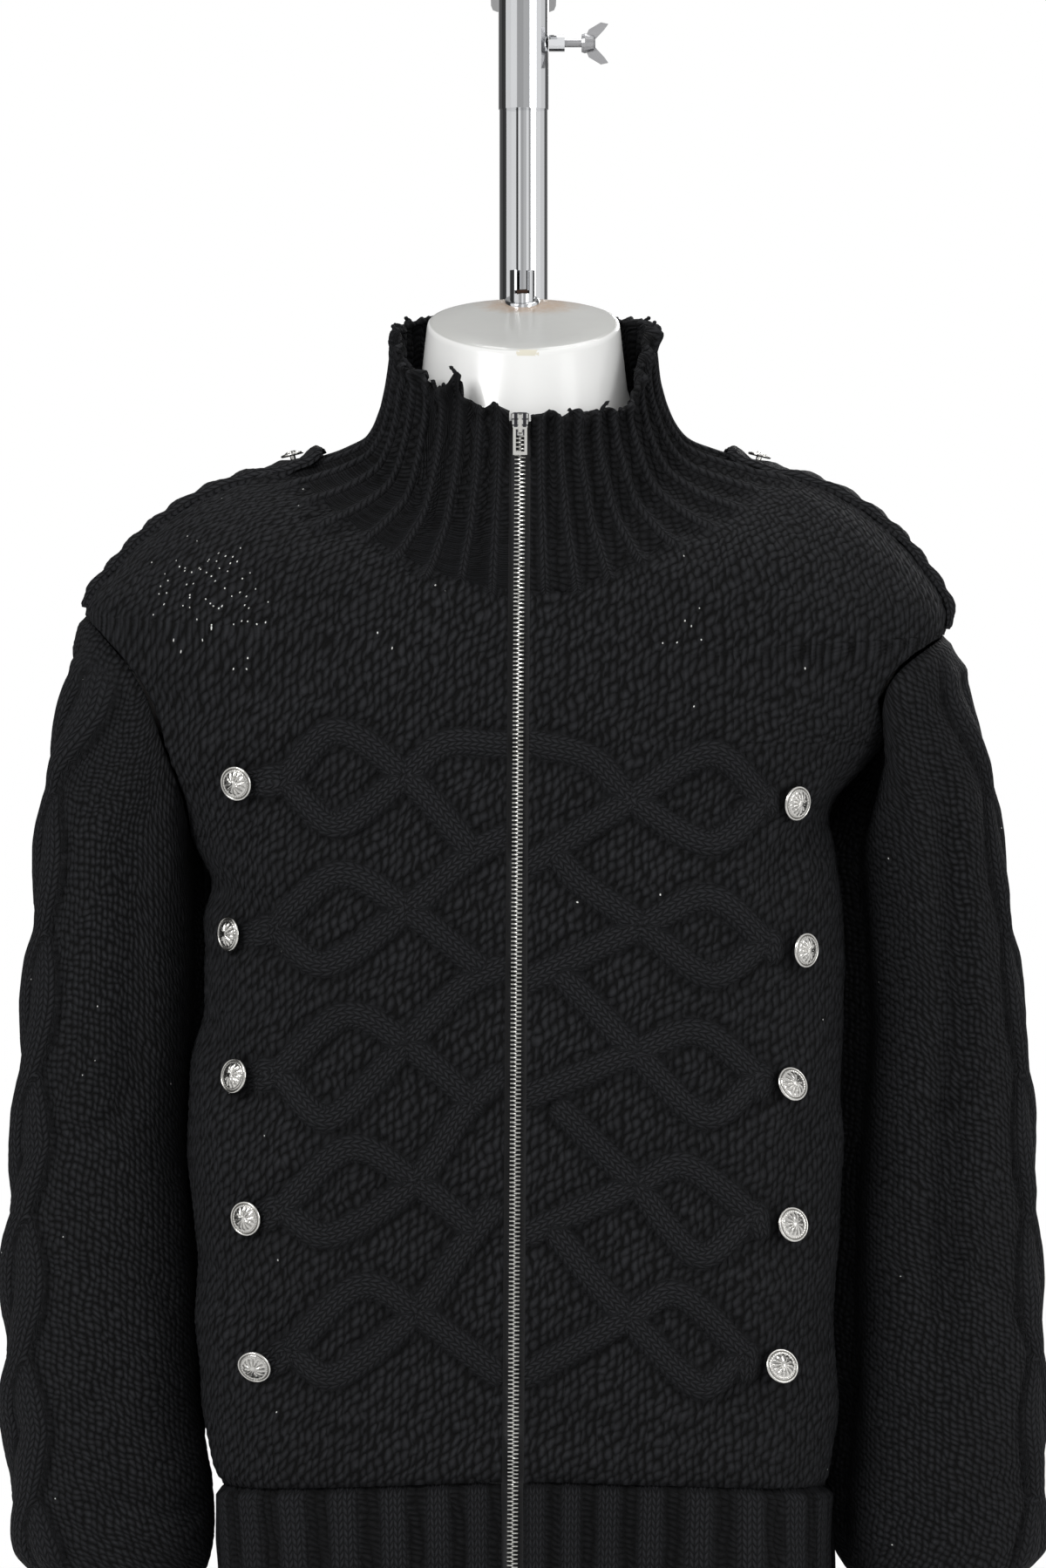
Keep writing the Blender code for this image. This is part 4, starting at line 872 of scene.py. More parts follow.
# The sleeves' outlines, seen from the front, with their depths before and behind.
sleeveColumns = ("z", "outer", "inner", "front", "back")
sleeveRows = {
    "left": (
        (0.085, 0.297, 0.207, 0.044, 0.040), (0.140, 0.298, 0.206, 0.045, 0.041),
        (0.150, 0.301, 0.201, 0.048, 0.043), (0.162, 0.308, 0.195, 0.053, 0.047),
        (0.180, 0.3145, 0.1922, 0.057, 0.051), (0.210, 0.3180, 0.1932, 0.059, 0.052),
        (0.250, 0.3205, 0.1990, 0.060, 0.052), (0.330, 0.3205, 0.2035, 0.059, 0.052),
        (0.380, 0.3180, 0.2050, 0.058, 0.052), (0.430, 0.3140, 0.2085, 0.057, 0.053),
        (0.500, 0.3085, 0.2050, 0.058, 0.054), (0.560, 0.3020, 0.2035, 0.060, 0.056),
        (0.620, 0.2955, 0.2070, 0.065, 0.060), (0.660, 0.2890, 0.2080, 0.068, 0.063),
        (0.700, 0.2830, 0.2080, 0.070, 0.064), (0.750, 0.2720, 0.2080, 0.070, 0.064),
    ),
    "right": (
        (0.085, 0.302, 0.212, 0.044, 0.040), (0.140, 0.303, 0.211, 0.045, 0.041),
        (0.150, 0.307, 0.209, 0.048, 0.043), (0.162, 0.314, 0.204, 0.053, 0.047),
        (0.180, 0.3185, 0.2005, 0.057, 0.051), (0.210, 0.3190, 0.2015, 0.059, 0.052),
        (0.250, 0.3182, 0.2040, 0.060, 0.052), (0.330, 0.3172, 0.2062, 0.059, 0.052),
        (0.380, 0.3125, 0.2073, 0.058, 0.052), (0.445, 0.3100, 0.2116, 0.057, 0.053),
        (0.500, 0.3050, 0.2150, 0.058, 0.054), (0.560, 0.2975, 0.2120, 0.060, 0.056),
        (0.620, 0.2895, 0.2030, 0.065, 0.060), (0.660, 0.2820, 0.1960, 0.068, 0.063),
        (0.700, 0.2755, 0.1930, 0.070, 0.064), (0.750, 0.2655, 0.1930, 0.070, 0.064),
    ),
}
# How far the sleeves' inner side is pushed outwards beside the body, behind its front.
tuckRows = {
    "left": (
        (0.085, 0.0), (0.230, 0.0), (0.270, 0.0075), (0.330, 0.0090), (0.430, 0.0080),
        (0.500, 0.0095), (0.560, 0.0140), (0.600, 0.0100), (0.630, 0.0),
    ),
    "right": (
        (0.085, 0.004), (0.150, 0.009), (0.190, 0.0165), (0.250, 0.0185), (0.330, 0.0205),
        (0.445, 0.0200), (0.500, 0.0230), (0.560, 0.0205), (0.620, 0.0190), (0.655, 0.0150),
        (0.690, 0.0),
    ),
}
# Long troughs down the sleeves: turn at the low and the high end, from and to a height.
troughColumns = ("turnLow", "turnHigh", "low", "high", "deep", "half")
troughRows = {
    "left": ((1.95, 1.70, 0.420, 0.690, 0.006, 0.22), (4.20, 4.60, 0.380, 0.640, 0.007, 0.34)),
    "right": ((1.78, 1.20, 0.230, 0.715, 0.014, 0.20), (4.50, 4.20, 0.330, 0.660, 0.008, 0.34)),
}
troughs = {side: [dict(zip(troughColumns, row)) for row in rows] for side, rows in troughRows.items()}
sleeveTables = {side: Rows(sleeveColumns, rows) for side, rows in sleeveRows.items()}
tuckTables = {side: Rows(("z", "in"), rows) for side, rows in tuckRows.items()}
sleevePiece = {
    "square": 2.2, "blend": 0.085, "cuffTop": 0.150, "cuffEnd": 0.085, "length": 0.55, "wear": 0.0015,
    "tuckMore": {"left": 0.006, "right": 0.010}, "tuckDepth": 0.030, "tuckLow": 0.235, "tuckHigh": 0.70,
    "girth": 0.058, "ropePeriod": 0.087, "ropeLevel": 0.6418, "ropeSwing": 0.0125,
    "ropeStrand": 0.0125, "ropeHeight": 0.0068, "ropeLow": 0.62, "ropeOver": 0.30,
    "ropeTurn": {"left": 0.62, "right": 0.30}, "ditchDeep": 0.0022, "ditchHalf": 0.004,
    "headFull": 0.0036, "headStart": 0.945, "stitchDeep": 0.0004, "stitchWide": 0.0092,
    "stitchTall": 0.0072, "columns": 132, "rows": 200, "edgeGap": 0.0004, "edgeWay": 0.55,
    "ditchShade": 0.6, "crossShade": 0.9, "seamShade": 0.3,
    "topDip": (0.0005, 0.005), "cuffDip": (0.0020, 0.010),
}
levelMemo = {}


def sleeveLevel(side, z):
    if (side, z) not in levelMemo:
        table = sleeveTables[side]
        values = [table.at(name, z) for name in sleeveColumns[1:]]
        levelMemo[side, z] = (*values, tuckTables[side].at("in", z))
    return levelMemo[side, z]


def sleeveSkin(side, turn, z):
    # turn 0 is the sleeve's outer side, a quarter its front
    outer, inner, front, back, tuck = sleeveLevel(side, z)
    depth = front if math.sin(turn) > 0 else back
    half = (outer - inner) / 2
    square = sleevePiece["square"]
    total = abs(math.sin(turn) / depth) ** square + abs(math.cos(turn) / half) ** square
    radius = total ** (-1 / square)
    across = (outer + inner) / 2 + radius * math.cos(turn)
    behind = -radius * math.sin(turn)
    if math.cos(turn) < 0:
        more = sleevePiece["tuckMore"][side] * smooth((z - sleevePiece["tuckLow"]) / 0.05)
        more *= smooth((sleevePiece["tuckHigh"] - z) / 0.05)
        across -= (tuck + more) * smooth((behind + 0.006) / sleevePiece["tuckDepth"])
    fold = 0.0
    for trough in troughs[side]:
        part = min(max((z - trough["low"]) / (trough["high"] - trough["low"]), 0), 1)
        centre = trough["turnLow"] + (trough["turnHigh"] - trough["turnLow"]) * part
        off = (turn % fullTurn - centre) / trough["half"]
        fold += trough["deep"] * bell(off, 1) * smooth(4 * part) * smooth(4 * (1 - part))
    sign = signs[side]
    inward = Vector((-sign * math.cos(turn), math.sin(turn), 0))
    return Vector((sign * across, behind, z)) + inward * fold


def armholePlace(side, turn):
    hole = armholes[side]
    middle, half = (hole["under"] + hole["top"]) / 2, (hole["top"] - hole["under"]) / 2
    reach = hole["front"] if math.sin(turn) > 0 else hole["back"]
    return signs[side] * (quarter - reach * math.sin(turn)), middle + half * math.cos(turn)


def profile(off, half):
    # a strand's rounded back
    share = 1 - (off / half) ** 2
    return share ** 0.6 if share > 0 else 0.0


# Small creases across the sleeves: turn, height, how far round, slope, depth and half width.
sleeveCreases = {
    "left": ((1.30, 0.430, 0.9, 0.030, 0.0030, 0.009), (1.9, 0.345, 0.7, -0.020, 0.0026, 0.008),
             (1.1, 0.255, 0.9, 0.022, 0.0028, 0.009), (3.9, 0.420, 1.0, 0.030, 0.0040, 0.011),
             (4.4, 0.330, 0.9, -0.026, 0.0035, 0.010), (4.0, 0.240, 1.0, 0.018, 0.0040, 0.010),
             (2.0, 0.200, 1.1, 0.010, 0.0034, 0.008), (5.0, 0.195, 1.0, -0.012, 0.0034, 0.008)),
    "right": ((1.55, 0.450, 0.7, -0.026, 0.0026, 0.009), (1.0, 0.330, 0.8, 0.024, 0.0030, 0.009),
              (1.7, 0.262, 0.9, -0.018, 0.0028, 0.009), (4.1, 0.440, 1.0, -0.026, 0.0040, 0.011),
              (4.5, 0.345, 0.9, 0.030, 0.0036, 0.010), (3.8, 0.250, 1.0, -0.020, 0.0040, 0.010),
              (1.4, 0.205, 1.1, -0.010, 0.0034, 0.008), (5.1, 0.190, 1.0, 0.014, 0.0034, 0.008)),
}


def creaseDepth(side, turn, z):
    total = 0.0
    turn %= fullTurn
    for centre, level, wide, slope, deep, half in sleeveCreases[side]:
        part = (turn - centre) / wide
        if abs(part) < 1:
            off = z - level - slope * part + 0.006 * math.sin(part * 4 + level * 30)
            total += deep * bell(off, half) * smooth((1 - abs(part)) * 2)
    return total


def sleeveTurn(side, s):
    # the sleeve's grid starts and ends at its inner side
    return math.pi - signs[side] * fullTurn * s


def makeSleeve(side):
    sign = signs[side]
    values = sleevePiece
    lowZ = values["cuffTop"] + cloth["gap"] / 2
    heights = evenly(0, 1, values["rows"])
    edge = {}

    def levels(s, up):
        turn = sleeveTurn(side, s)
        if s not in edge:
            edge[s] = bodySkin(*armholePlace(side, turn))
        top = edge[s]
        return turn, top, lowZ + (top.z - lowZ) * up

    def place(s, up):
        turn, top, z = levels(s, up)
        weight = 1 - smooth((top.z - z) / values["blend"])
        point = sleeveSkin(side, turn, z) + (top - sleeveSkin(side, turn, top.z)) * weight
        if up == 1:
            # the last row stands off the body's edge
            point += Vector((sign * values["edgeWay"], 0, -1)).normalized() * values["edgeGap"]
        return point

    def rope(turn, z, ends):
        # two strands that cross by turns: how high, the place across one, the shade
        off = (turn - values["ropeTurn"][side] + math.pi) % fullTurn - math.pi
        off *= values["girth"]
        phase = (z - values["ropeLevel"]) / values["ropePeriod"] * math.pi
        swing = values["ropeSwing"] * math.sin(phase)
        best, across, rises = 0.0, off, []
        for way in (1, -1):
            # one strand passes over the other at each crossing, in turn
            over = 1 + values["ropeOver"] * way * math.cos(phase)
            rises.append(profile(off - way * swing, values["ropeStrand"]) * over)
            if rises[-1] > best:
                best, across = rises[-1], off - way * swing
        # the rope is lowest where its strands cross
        low = values["ropeLow"]
        out = best * values["ropeHeight"] * ends * (low + (1 - low) * abs(math.sin(phase)))
        beyond = abs(off) - values["ropeStrand"] - abs(swing)
        out -= values["ditchDeep"] * bell(beyond, values["ditchHalf"]) * ends
        dark = values["ditchShade"] * bell(beyond, 0.0026) * ends
        if min(rises) > 0:
            dark = max(dark, values["crossShade"] * bell(rises[0] - rises[1], 0.14) * ends)
        return out, best, across, dark

    def dress(s, up, point, u, v):
        turn, top, z = levels(s, up)
        toTop = (1 - up) * values["length"]
        ends = smooth((z - values["cuffTop"] - 0.004) / 0.02) * smooth((1 - up) * 20)
        out, best, across, dark = rope(turn, z, ends)
        outer = 0.45 + 0.55 * max(0.0, math.cos(turn)) ** 0.5 if math.cos(turn) > -0.5 else 0.0
        head = smooth((up - values["headStart"]) / 0.02) * smooth((1 - up) / 0.012)
        out += values["headFull"] * outer * head
        out += unevenness(point, 9 + sign) - creaseDepth(side, turn, z)
        lift = stitchLift(u, v, values["stitchWide"], values["stitchTall"])
        out += values["stitchDeep"] * lift * (1 - min(best, 1))
        out += edgeSink(toTop, *values["topDip"]) + edgeSink(up * values["length"], *values["cuffDip"])
        dark += values["seamShade"] * (1 - smooth(toTop / 0.003))
        return out, smooth(best * 2) * ends, across, z, values["wear"], dark

    made = knitPiece(
        f"knit_sleeve_{side}", values["columns"], heights, place, dress, closed=True, anchor=0.5,
    )
    finishPiece(made, sleeveKnit, f"sleeve_{side}")
    return made


# "ribShare" is how much of each repeat the raised wales take, "girth" metres round the cuff
cuffPiece = {
    "ribs": 14, "perRib": 10, "rows": 26, "height": 0.0030, "ribEdge": 0.18, "ribShare": 0.68,
    "girth": 0.24, "shade": 0.7, "topDip": (0.0014, 0.008),
}
ribEnd = (0.0012, 0.003)  # how deep and wide a rib's lower end turns in


def ribRaised(rib, values):
    # a flat-topped rib with sloping sides
    return smooth(rib / values["ribEdge"]) * smooth((values["ribShare"] - rib) / values["ribEdge"])


def makeCuff(side):
    sign = signs[side]
    values = cuffPiece
    top = sleevePiece["cuffTop"] - cloth["gap"] / 2
    heights = evenly(sleevePiece["cuffEnd"], top, values["rows"])

    def place(s, z):
        return sleeveSkin(side, sleeveTurn(side, s), z)

    def dress(s, z, point, u, v):
        rib = s * values["ribs"] % 1
        raised = ribRaised(rib, values)
        out = values["height"] * raised + unevenness(point, 14 + sign) * 0.7
        out += edgeSink(top - z, *values["topDip"]) + edgeSink(z - heights[0], *ribEnd)
        across = (rib - values["ribShare"] / 2) * values["girth"] / values["ribs"]
        return out, raised, across, z, 0.0, values["shade"] * (1 - raised)

    columns = values["ribs"] * values["perRib"]
    made = knitPiece(f"knit_cuff_{side}", columns, heights, place, dress, closed=True)
    finishPiece(made, ribKnit, f"cuff_{side}")
    return made


knitSleeves = {side: makeSleeve(side) for side in signs}
knitCuffs = {side: makeCuff(side) for side in signs}
print("sleeves and cuffs knitted")

# "reach" is the rib's mean distance from the middle, which turns an angle into metres
hemPiece = {
    "ribs": 34, "perRib": 11, "rows": 40, "height": 0.0036, "ribEdge": 0.17, "ribShare": 0.72,
    "reach": 0.158, "tuckUnder": 0.005, "tuckDip": 0.0056, "wave": 0.0022, "seamShare": 0.0016,
    "zipLevel": 0.17, "shade": 0.8, "tuckShade": 0.3,
}


def makeHem(name, start, end, node):
    values = hemPiece
    top = cloth["hemTop"] + values["tuckUnder"]
    low = cloth["hemEnd"]
    heights = evenly(low, top, values["rows"])
    ribs = round(values["ribs"] / fullTurn * (end - start))

    def place(s, along):
        return bodySkin(start + (end - start) * s, along)

    def dress(s, along, point, u, v):
        rib = s * ribs % 1
        raised = ribRaised(rib, values)
        wave = values["wave"] * math.sin(s * ribs * 1.3 + 0.7) * smooth((top - along) / 0.05)
        out = values["height"] * raised + wave + unevenness(point, 20) * 0.8
        # the body's cloth rolls over the hem's top, which lies under it
        under = smooth((along - cloth["hemTop"] + 0.006) / 0.007)
        out = out * (1 - under) - values["tuckDip"] * under + edgeSink(along - low, *ribEnd)
        across = (rib - values["ribShare"] / 2) * (end - start) * values["reach"] / ribs
        dark = values["shade"] * (1 - raised) + values["tuckShade"] * under
        return out, raised, across, along, 0.0, dark

    made = knitPiece(name, ribs * values["perRib"], heights, place, dress)
    finishPiece(made, ribKnit, node)
    return made


hemSeam = quarter + cloth["gap"] / 2 / 0.19
hemZips = {side: zipEdge(side, hemPiece["zipLevel"]) for side in signs}
hemSide = hemSeam - hemPiece["seamShare"]
knitHems = {
    "left": makeHem("knit_hem_front_left", -hemSide, hemZips["left"], "hem_front_left"),
    "right": makeHem("knit_hem_front_right", hemZips["right"], hemSide, "hem_front_right"),
    "back": makeHem("knit_hem_back", hemSeam, fullTurn - hemSeam, "hem_back"),
}

# Where the ragged collar ends, along the cloth, at angles from the zip.
collarEnds = Rows(("angle", "end"), (
    (-180, 0.9860), (-150, 0.9880), (-128, 0.9950), (-108, 0.9920), (-92, 0.9880), (-84, 0.9877),
    (-76, 0.9814), (-66, 0.9770), (-58, 0.9821), (-50, 0.9887), (-45, 0.9828), (-41, 0.9875),
    (-38, 0.9912), (-35.5, 1.0030), (-32, 1.0058), (-29, 0.9926), (-25, 0.9904), (-20, 0.9917),
    (-13, 0.9970), (-6, 0.9923), (4, 0.9903), (12, 0.9916), (19, 0.9857), (26, 0.9845),
    (33, 0.9769), (42, 0.9715), (50, 0.9612), (60, 0.9693), (70, 0.9805), (80, 0.9900),
    (90, 0.9900), (108, 0.9940), (130, 0.9930), (155, 0.9880), (180, 0.9860),
))
tornEdge = {"slow": 0.0016, "loops": 0.0022, "loopTurns": 19, "nicks": 0.0009}


def collarAngle(s, along):
    start, end = collarSpan(along)
    return start + (end - start) * s


def collarEnd(angle):
    # the torn edge: a slow line, loops of uneven width and small nicks
    degrees = math.degrees(angle)
    end = collarEnds.at("end", degrees if degrees <= 180 else degrees - 360)
    end += tornEdge["slow"] * noise.noise(Vector((angle * 7, 2.0, 0)))
    uneven = 2 * noise.noise(Vector((angle * 5, 7.0, 0)))
    end += tornEdge["loops"] * (abs(math.sin(angle * tornEdge["loopTurns"] + uneven)) - 0.6)
    return end + tornEdge["nicks"] * noise.noise(Vector((angle * 60, 5.0, 0)))


def makeCollar():
    values = collarPiece
    low = cloth["neckline"] - values["tuckUnder"]
    heights = evenly(0, 1, values["rows"])

    def ringOf(s, part):
        end = collarEnd(collarAngle(s, cloth["collarEnd"]))
        return low + (end - low) * part

    def place(s, part):
        along = ringOf(s, part)
        return bodySkin(collarAngle(s, along), along)

    def dress(s, part, point, u, v):
        along = ringOf(s, part)
        raised, off = ribCrest(s)
        out = values["height"] * (raised - values["hollow"]) + unevenness(point, 30)
        # the foot lies under the yoke's cloth, and the torn end leans in and out by turns
        out -= values["footDip"] * (1 - smooth((along - low) / (values["tuckUnder"] + 0.001)))
        ragged = smooth((part - values["raggedFrom"]) * 6)
        wave = values["lean"] * noise.noise(Vector((s * 46, 3, part * 6)))
        out += ragged * (wave + values["leanOut"])
        out += values["nicks"] * ragged * noise.noise(Vector((s * 150, 8, part * 22)))
        looped = smooth((part - values["loopsFrom"]) * 12)
        out += values["loops"] * looped * abs(math.sin(s * 110 + 2 * raised))
        out += edgeSink((1 - part) * values["length"], *values["endDip"])
        across = off * values["waleWide"] * (1 - 0.3 * part)
        return out, raised * (1 - 0.5 * ragged), across, along, 0.0, values["shade"] * (1 - raised)

    made = knitPiece("knit_collar", values["ribs"] * values["perRib"], heights, place, dress)
    finishPiece(made, ribKnit, "collar")
    return made


knitCollar = makeCollar()
print("collar and hem knitted")

# Broken yarn ends at the torn collar: angle from the zip, how far they lean round, how far
# they stand up and how far out of the cloth.
yarnColumns = ("angle", "lean", "rise", "out")
yarnRows = (
    (-47.0, 4, 0.0022, 0.0030), (-44.5, -3, 0.0034, 0.0016), (-43.0, 4, 0.0018, 0.0042),
    (-40.5, 3, 0.0024, 0.0034), (-33.5, -3, 0.0012, 0.0030), (-62.0, -4, 0.0020, 0.0036),
    (-74.0, 3, 0.0016, 0.0042), (-90.0, -3, 0.0020, 0.0038), (-112.0, 4, 0.0016, 0.0030),
    (23.0, -3, 0.0014, 0.0034), (37.5, 4, 0.0020, 0.0040), (49.0, -3, 0.0024, 0.0030),
    (67.0, -3, 0.0016, 0.0036), (86.0, 3, 0.0020, 0.0042), (104.0, -4, 0.0018, 0.0034),
)
yarn = {"radius": 0.0013, "sides": 7, "steps": 9, "rooted": 0.004, "sunk": 0.0006}


def closeEnds(work):
    rims = [edge for edge in work.edges if edge.is_boundary]
    bmesh.ops.holes_fill(work, edges=rims, sides=0)


def yarnRun(end):
    # points along one yarn: it leaves the cloth, bends over and leans round
    angle = math.radians(end["angle"])
    root = collarEnd(angle % fullTurn) - yarn["rooted"]
    run = []
    for part in evenly(0, 1, yarn["steps"]):
        along = root + (yarn["rooted"] + end["rise"]) * math.sin(part * 1.9) / math.sin(1.57)
        turned = angle + math.radians(end["lean"]) * part ** 1.6
        run.append(bodyPoint(turned, along, end["out"] * smooth(part * 1.3) - yarn["sunk"]))
    return run


def makeYarnEnds():
    work = bmesh.new()
    steps = yarn["steps"]
    for row in yarnRows:
        run = yarnRun(dict(zip(yarnColumns, row)))
        for vert, column, index in gridOf(work, yarn["sides"], steps):
            around = fullTurn * column / yarn["sides"]
            ahead = (run[min(index + 1, steps)] - run[max(index - 1, 0)]).normalized()
            first = ahead.cross(Vector((0.3, 0.2, 0.9))).normalized()
            second = ahead.cross(first)
            taper = 1 - smooth((index / steps - 0.75) / 0.25)
            thin = yarn["radius"] * taper * (0.9 + 0.2 * math.sin(index * 2.3))
            vert.co = run[index] + (first * math.cos(around) + second * math.sin(around)) * thin
    bmesh.ops.remove_doubles(work, verts=work.verts, dist=weldReach)
    closeEnds(work)
    made = meshObject("collar_yarn_ends", work)
    finishPiece(made, yarnMaterial(), "collar")
    return made


def yarnMaterial():
    look = Look("black_yarn", knitLook["high"], knitLook["rough"])
    fibre = look.noise(look.objectPlace(), 900.0, 3.0, 0.65)
    look.give("Base Color", look.blend(fibre, knitLook["deep"], knitLook["high"]))
    look.give("Specular IOR Level", knitLook["specular"])
    look.bump(fibre, 0.0008)
    return look.material


yarnEnds = makeYarnEnds()

strapPiece = {
    "half": 0.022, "thick": 0.0040, "start": 0.882, "past": 0.004, "turns": 9.0, "columns": 30,
    "rows": 150, "topShare": 0.6, "lift": 0.0006, "curl": 0.0046, "twist": 0.0013,
    "border": 0.0012, "borderAt": 0.72, "borderHalf": 0.14, "waleWide": 0.019, "twistLong": 0.021,
    "wave": 0.05, "endWide": 0.72, "back": 0.004, "roundFrom": 0.02, "roundTo": 0.985,
    "endThick": 0.25, "rough": 0.0004, "shade": 0.7,
    "buttonPart": 0.10, "buttonRadius": 0.0072, "buttonSunk": 0.0004,
}


def strapOut(part, across):
    # a flat knitted band: a raised wale at each edge and a low twist between them
    values = strapPiece
    under = cloth["gap"] + values["lift"] + values["curl"] * smooth(1 - part * 8)
    twist = math.sin((part * values["turns"] + across * 0.35) * fullTurn)
    middle = values["twist"] * twist * (1 - across * across)
    border = values["border"] * bell(abs(across) - values["borderAt"], values["borderHalf"])
    thick = values["thick"] * (1 - 0.55 * smooth((part - 0.93) / 0.07))
    return under + thick * math.sqrt(max(0.0, 1 - across ** 6)) + middle + border, under


def strapAlong(side, part):
    end = armholes[side]["top"] + strapPiece["past"]
    return strapPiece["start"] + (end - strapPiece["start"]) * part


def strapAcross(s):
    # s runs once round the strap: over its top, then back under it
    topShare = strapPiece["topShare"]
    if s <= topShare:
        return math.cos(math.pi * s / topShare), True
    return -math.cos(math.pi * (s - topShare) / (1 - topShare)), False


def makeStrap(side):
    sign = signs[side]
    values = strapPiece
    heights = evenly(0, 1, values["rows"])

    def place(s, part):
        along = strapAlong(side, part)
        reach = ringAt(along)[1 if sign > 0 else 0]
        across, top = strapAcross(s)
        wide = values["half"] * (1 + values["wave"] * math.sin(part * values["turns"] * fullTurn))
        wide *= values["endWide"] + (1 - values["endWide"]) * smooth(part * 16)
        angle = sign * (quarter + values["back"] - across * wide / reach)
        above, under = strapOut(part, across)
        out = above if top else under
        roundFrom, roundTo = values["roundFrom"], values["roundTo"]
        if part < roundFrom or part > roundTo:
            # both ends are rounded off
            middle = (above + under) / 2
            full = smooth(part / roundFrom) if part < 0.5 else smooth((1 - part) / (1 - roundTo))
            out = middle + (out - middle) * (values["endThick"] + (1 - values["endThick"]) * full)
        return bodyPoint(angle, along, out)

    def dress(s, part, point, u, v):
        across, top = strapAcross(s)
        across = across if top else 0.0
        lean = part * values["turns"] + across * 0.22
        dark = values["shade"] * bell(abs(across) - 0.5, 0.10)
        rough = values["rough"] * noise.noise(point * 300)
        return rough, 1.0, across * values["waleWide"], lean * values["twistLong"], 0.0, dark

    made = knitPiece(f"knit_strap_{side}", values["columns"], heights, place, dress, closed=True)
    made.modifiers.remove(made.modifiers["thickness"])
    work = bmesh.new()
    work.from_mesh(made.data)
    closeEnds(work)
    bmesh.ops.recalc_face_normals(work, faces=work.faces)
    work.to_mesh(made.data)
    work.free()
    finishPiece(made, ribKnit, f"epaulette_{side}")
    return made


knitStraps = {side: makeStrap(side) for side in signs}
print("shoulder straps knitted")

# "grain" is how fine the unevenness is, "uneven" how deep
metalLook = {
    "nickel": {"colour": (0.60, 0.595, 0.57), "rough": 0.22, "grain": 900.0, "uneven": 0.00003},
    "polished": {"colour": (0.56, 0.56, 0.55), "rough": 0.13, "grain": 260.0, "uneven": 0.00035},
    "satin": {"colour": (0.40, 0.40, 0.41), "rough": 0.34, "grain": 300.0, "uneven": 0.00008},
    "rust": {"colour": (0.050, 0.031, 0.023), "rough": 0.60, "grain": 900.0, "uneven": 0.00020},
    "brightNickel": {"colour": (0.58, 0.57, 0.545), "rough": 0.22, "grain": 1500.0, "uneven": 0.00006},
    "chrome": {"colour": (0.74, 0.75, 0.765), "rough": 0.07, "grain": 60.0, "uneven": 0.00001},
}
buttonLook = {"grime": (0.085, 0.082, 0.075), "rough": (0.17, 0.50)}
# the slider's painted shade: dark bands in its hollows, metres off its middle, and dark rungs across it
sliderLook = {
    "dark": (0.035, 0.035, 0.04), "inner": (0.0012, 0.0020), "outer": (0.0034, 0.0042),
    "rungs": 1700.0, "rungShare": 0.78,
}


def metalMaterial(name, values):
    look = Look(name, values["colour"], values["rough"], 1.0)
    place = look.objectPlace()
    smear = look.noise(place, values["grain"] / 6, 3.0)
    look.give("Roughness", look.lerp(smear, values["rough"] * 0.75, values["rough"] * 1.35))
    low = tuple(part * 0.86 for part in values["colour"])
    look.give("Base Color", look.blend(smear, low, values["colour"]))
    look.bump(look.noise(place, values["grain"], 2.0), values["uneven"])
    return look.material


def buttonMaterial():
    values = metalLook["brightNickel"]
    look = Look("silver_button", values["colour"], values["rough"], 1.0)
    grime = look.noise(look.objectPlace(), values["grain"], 3.0)
    dark = look.times(look.attribute("hollow"), look.lerp(grime, 0.6, 1.0))
    look.give("Base Color", look.blend(dark, values["colour"], buttonLook["grime"]))
    look.give("Roughness", look.lerp(dark, *buttonLook["rough"]))
    look.bump(grime, values["uneven"])
    return look.material


def sliderMaterial():
    # plain metal along the middle, with painted shade in the hollows at the sides and across
    values = metalLook["polished"]
    look = Look("polished_slider", values["colour"], values["rough"], 1.0)
    place = look.objectPlace()
    x, _, z = look.parts(place)
    aside = look.calc("ABSOLUTE", look.minus(x, cloth["zipTopX"]))
    beyond = look.minus(1.0, look.band(aside, *sliderLook["outer"]))
    dark = look.times(look.band(aside, *sliderLook["inner"]), beyond)
    rung = look.calc("SINE", look.times(z, sliderLook["rungs"]))
    dark = look.calc("MAXIMUM", dark, look.calc("GREATER_THAN", rung, sliderLook["rungShare"]))
    look.give("Base Color", look.blend(dark, values["colour"], sliderLook["dark"]))
    look.bump(look.noise(place, values["grain"], 2.0), values["uneven"])
    return look.material


nickel = metalMaterial("nickel_zip", metalLook["nickel"])
slider = sliderMaterial()
satin = metalMaterial("satin_steel", metalLook["satin"])
rust = metalMaterial("rusty_pin", metalLook["rust"])
chrome = metalMaterial("chrome_tube", metalLook["chrome"])
silverButton = buttonMaterial()

formPiece = {
    "low": 0.108, "top": 0.978, "neckTilt": 0.384, "capZ": 0.9280, "capY": -0.0405, "columns": 96,
    "shoulderEase": 0.0022, "hipInset": 0.014, "rowLow": 0.150, "rowStep": 0.014, "rowHigh": 0.955,
    # the foot's rounded edge: how far shrunk, how far up
    "foot": ((0.0, 0.0), (0.90, 0.0), (0.96, 0.0015), (0.99, 0.005), (1.0, 0.012)),
    # the cap's rounded rim: how far in, how far down
    "rim": ((0.0, 0.0040), (0.0006, 0.0018), (0.0018, 0.0006), (0.0040, 0.0)),
    "capShrinks": (0.75, 0.45, 0.2, 0.0),
}
formLook = {
    "white": ((0.66, 0.66, 0.65), (0.70, 0.70, 0.69)),
    # painted shade: the cap's flat face is the form's white, coloured grey as if less lit
    "cap": (0.43, 0.43, 0.415),
    "plaster": (0.52, 0.48, 0.36),
    "rust": (0.36, 0.235, 0.14),
    "rough": (0.17, 0.30),
    "coat": 0.25,
    "coatRough": 0.08,
    "rustMiddle": (0.004, -0.004),
    "rustReach": (0.012, 0.040),
    "chipX": 0.002, "chipHalf": 0.010, "chipY": -0.0885, "chipZ": 0.9052, "chipShare": 0.7,
}


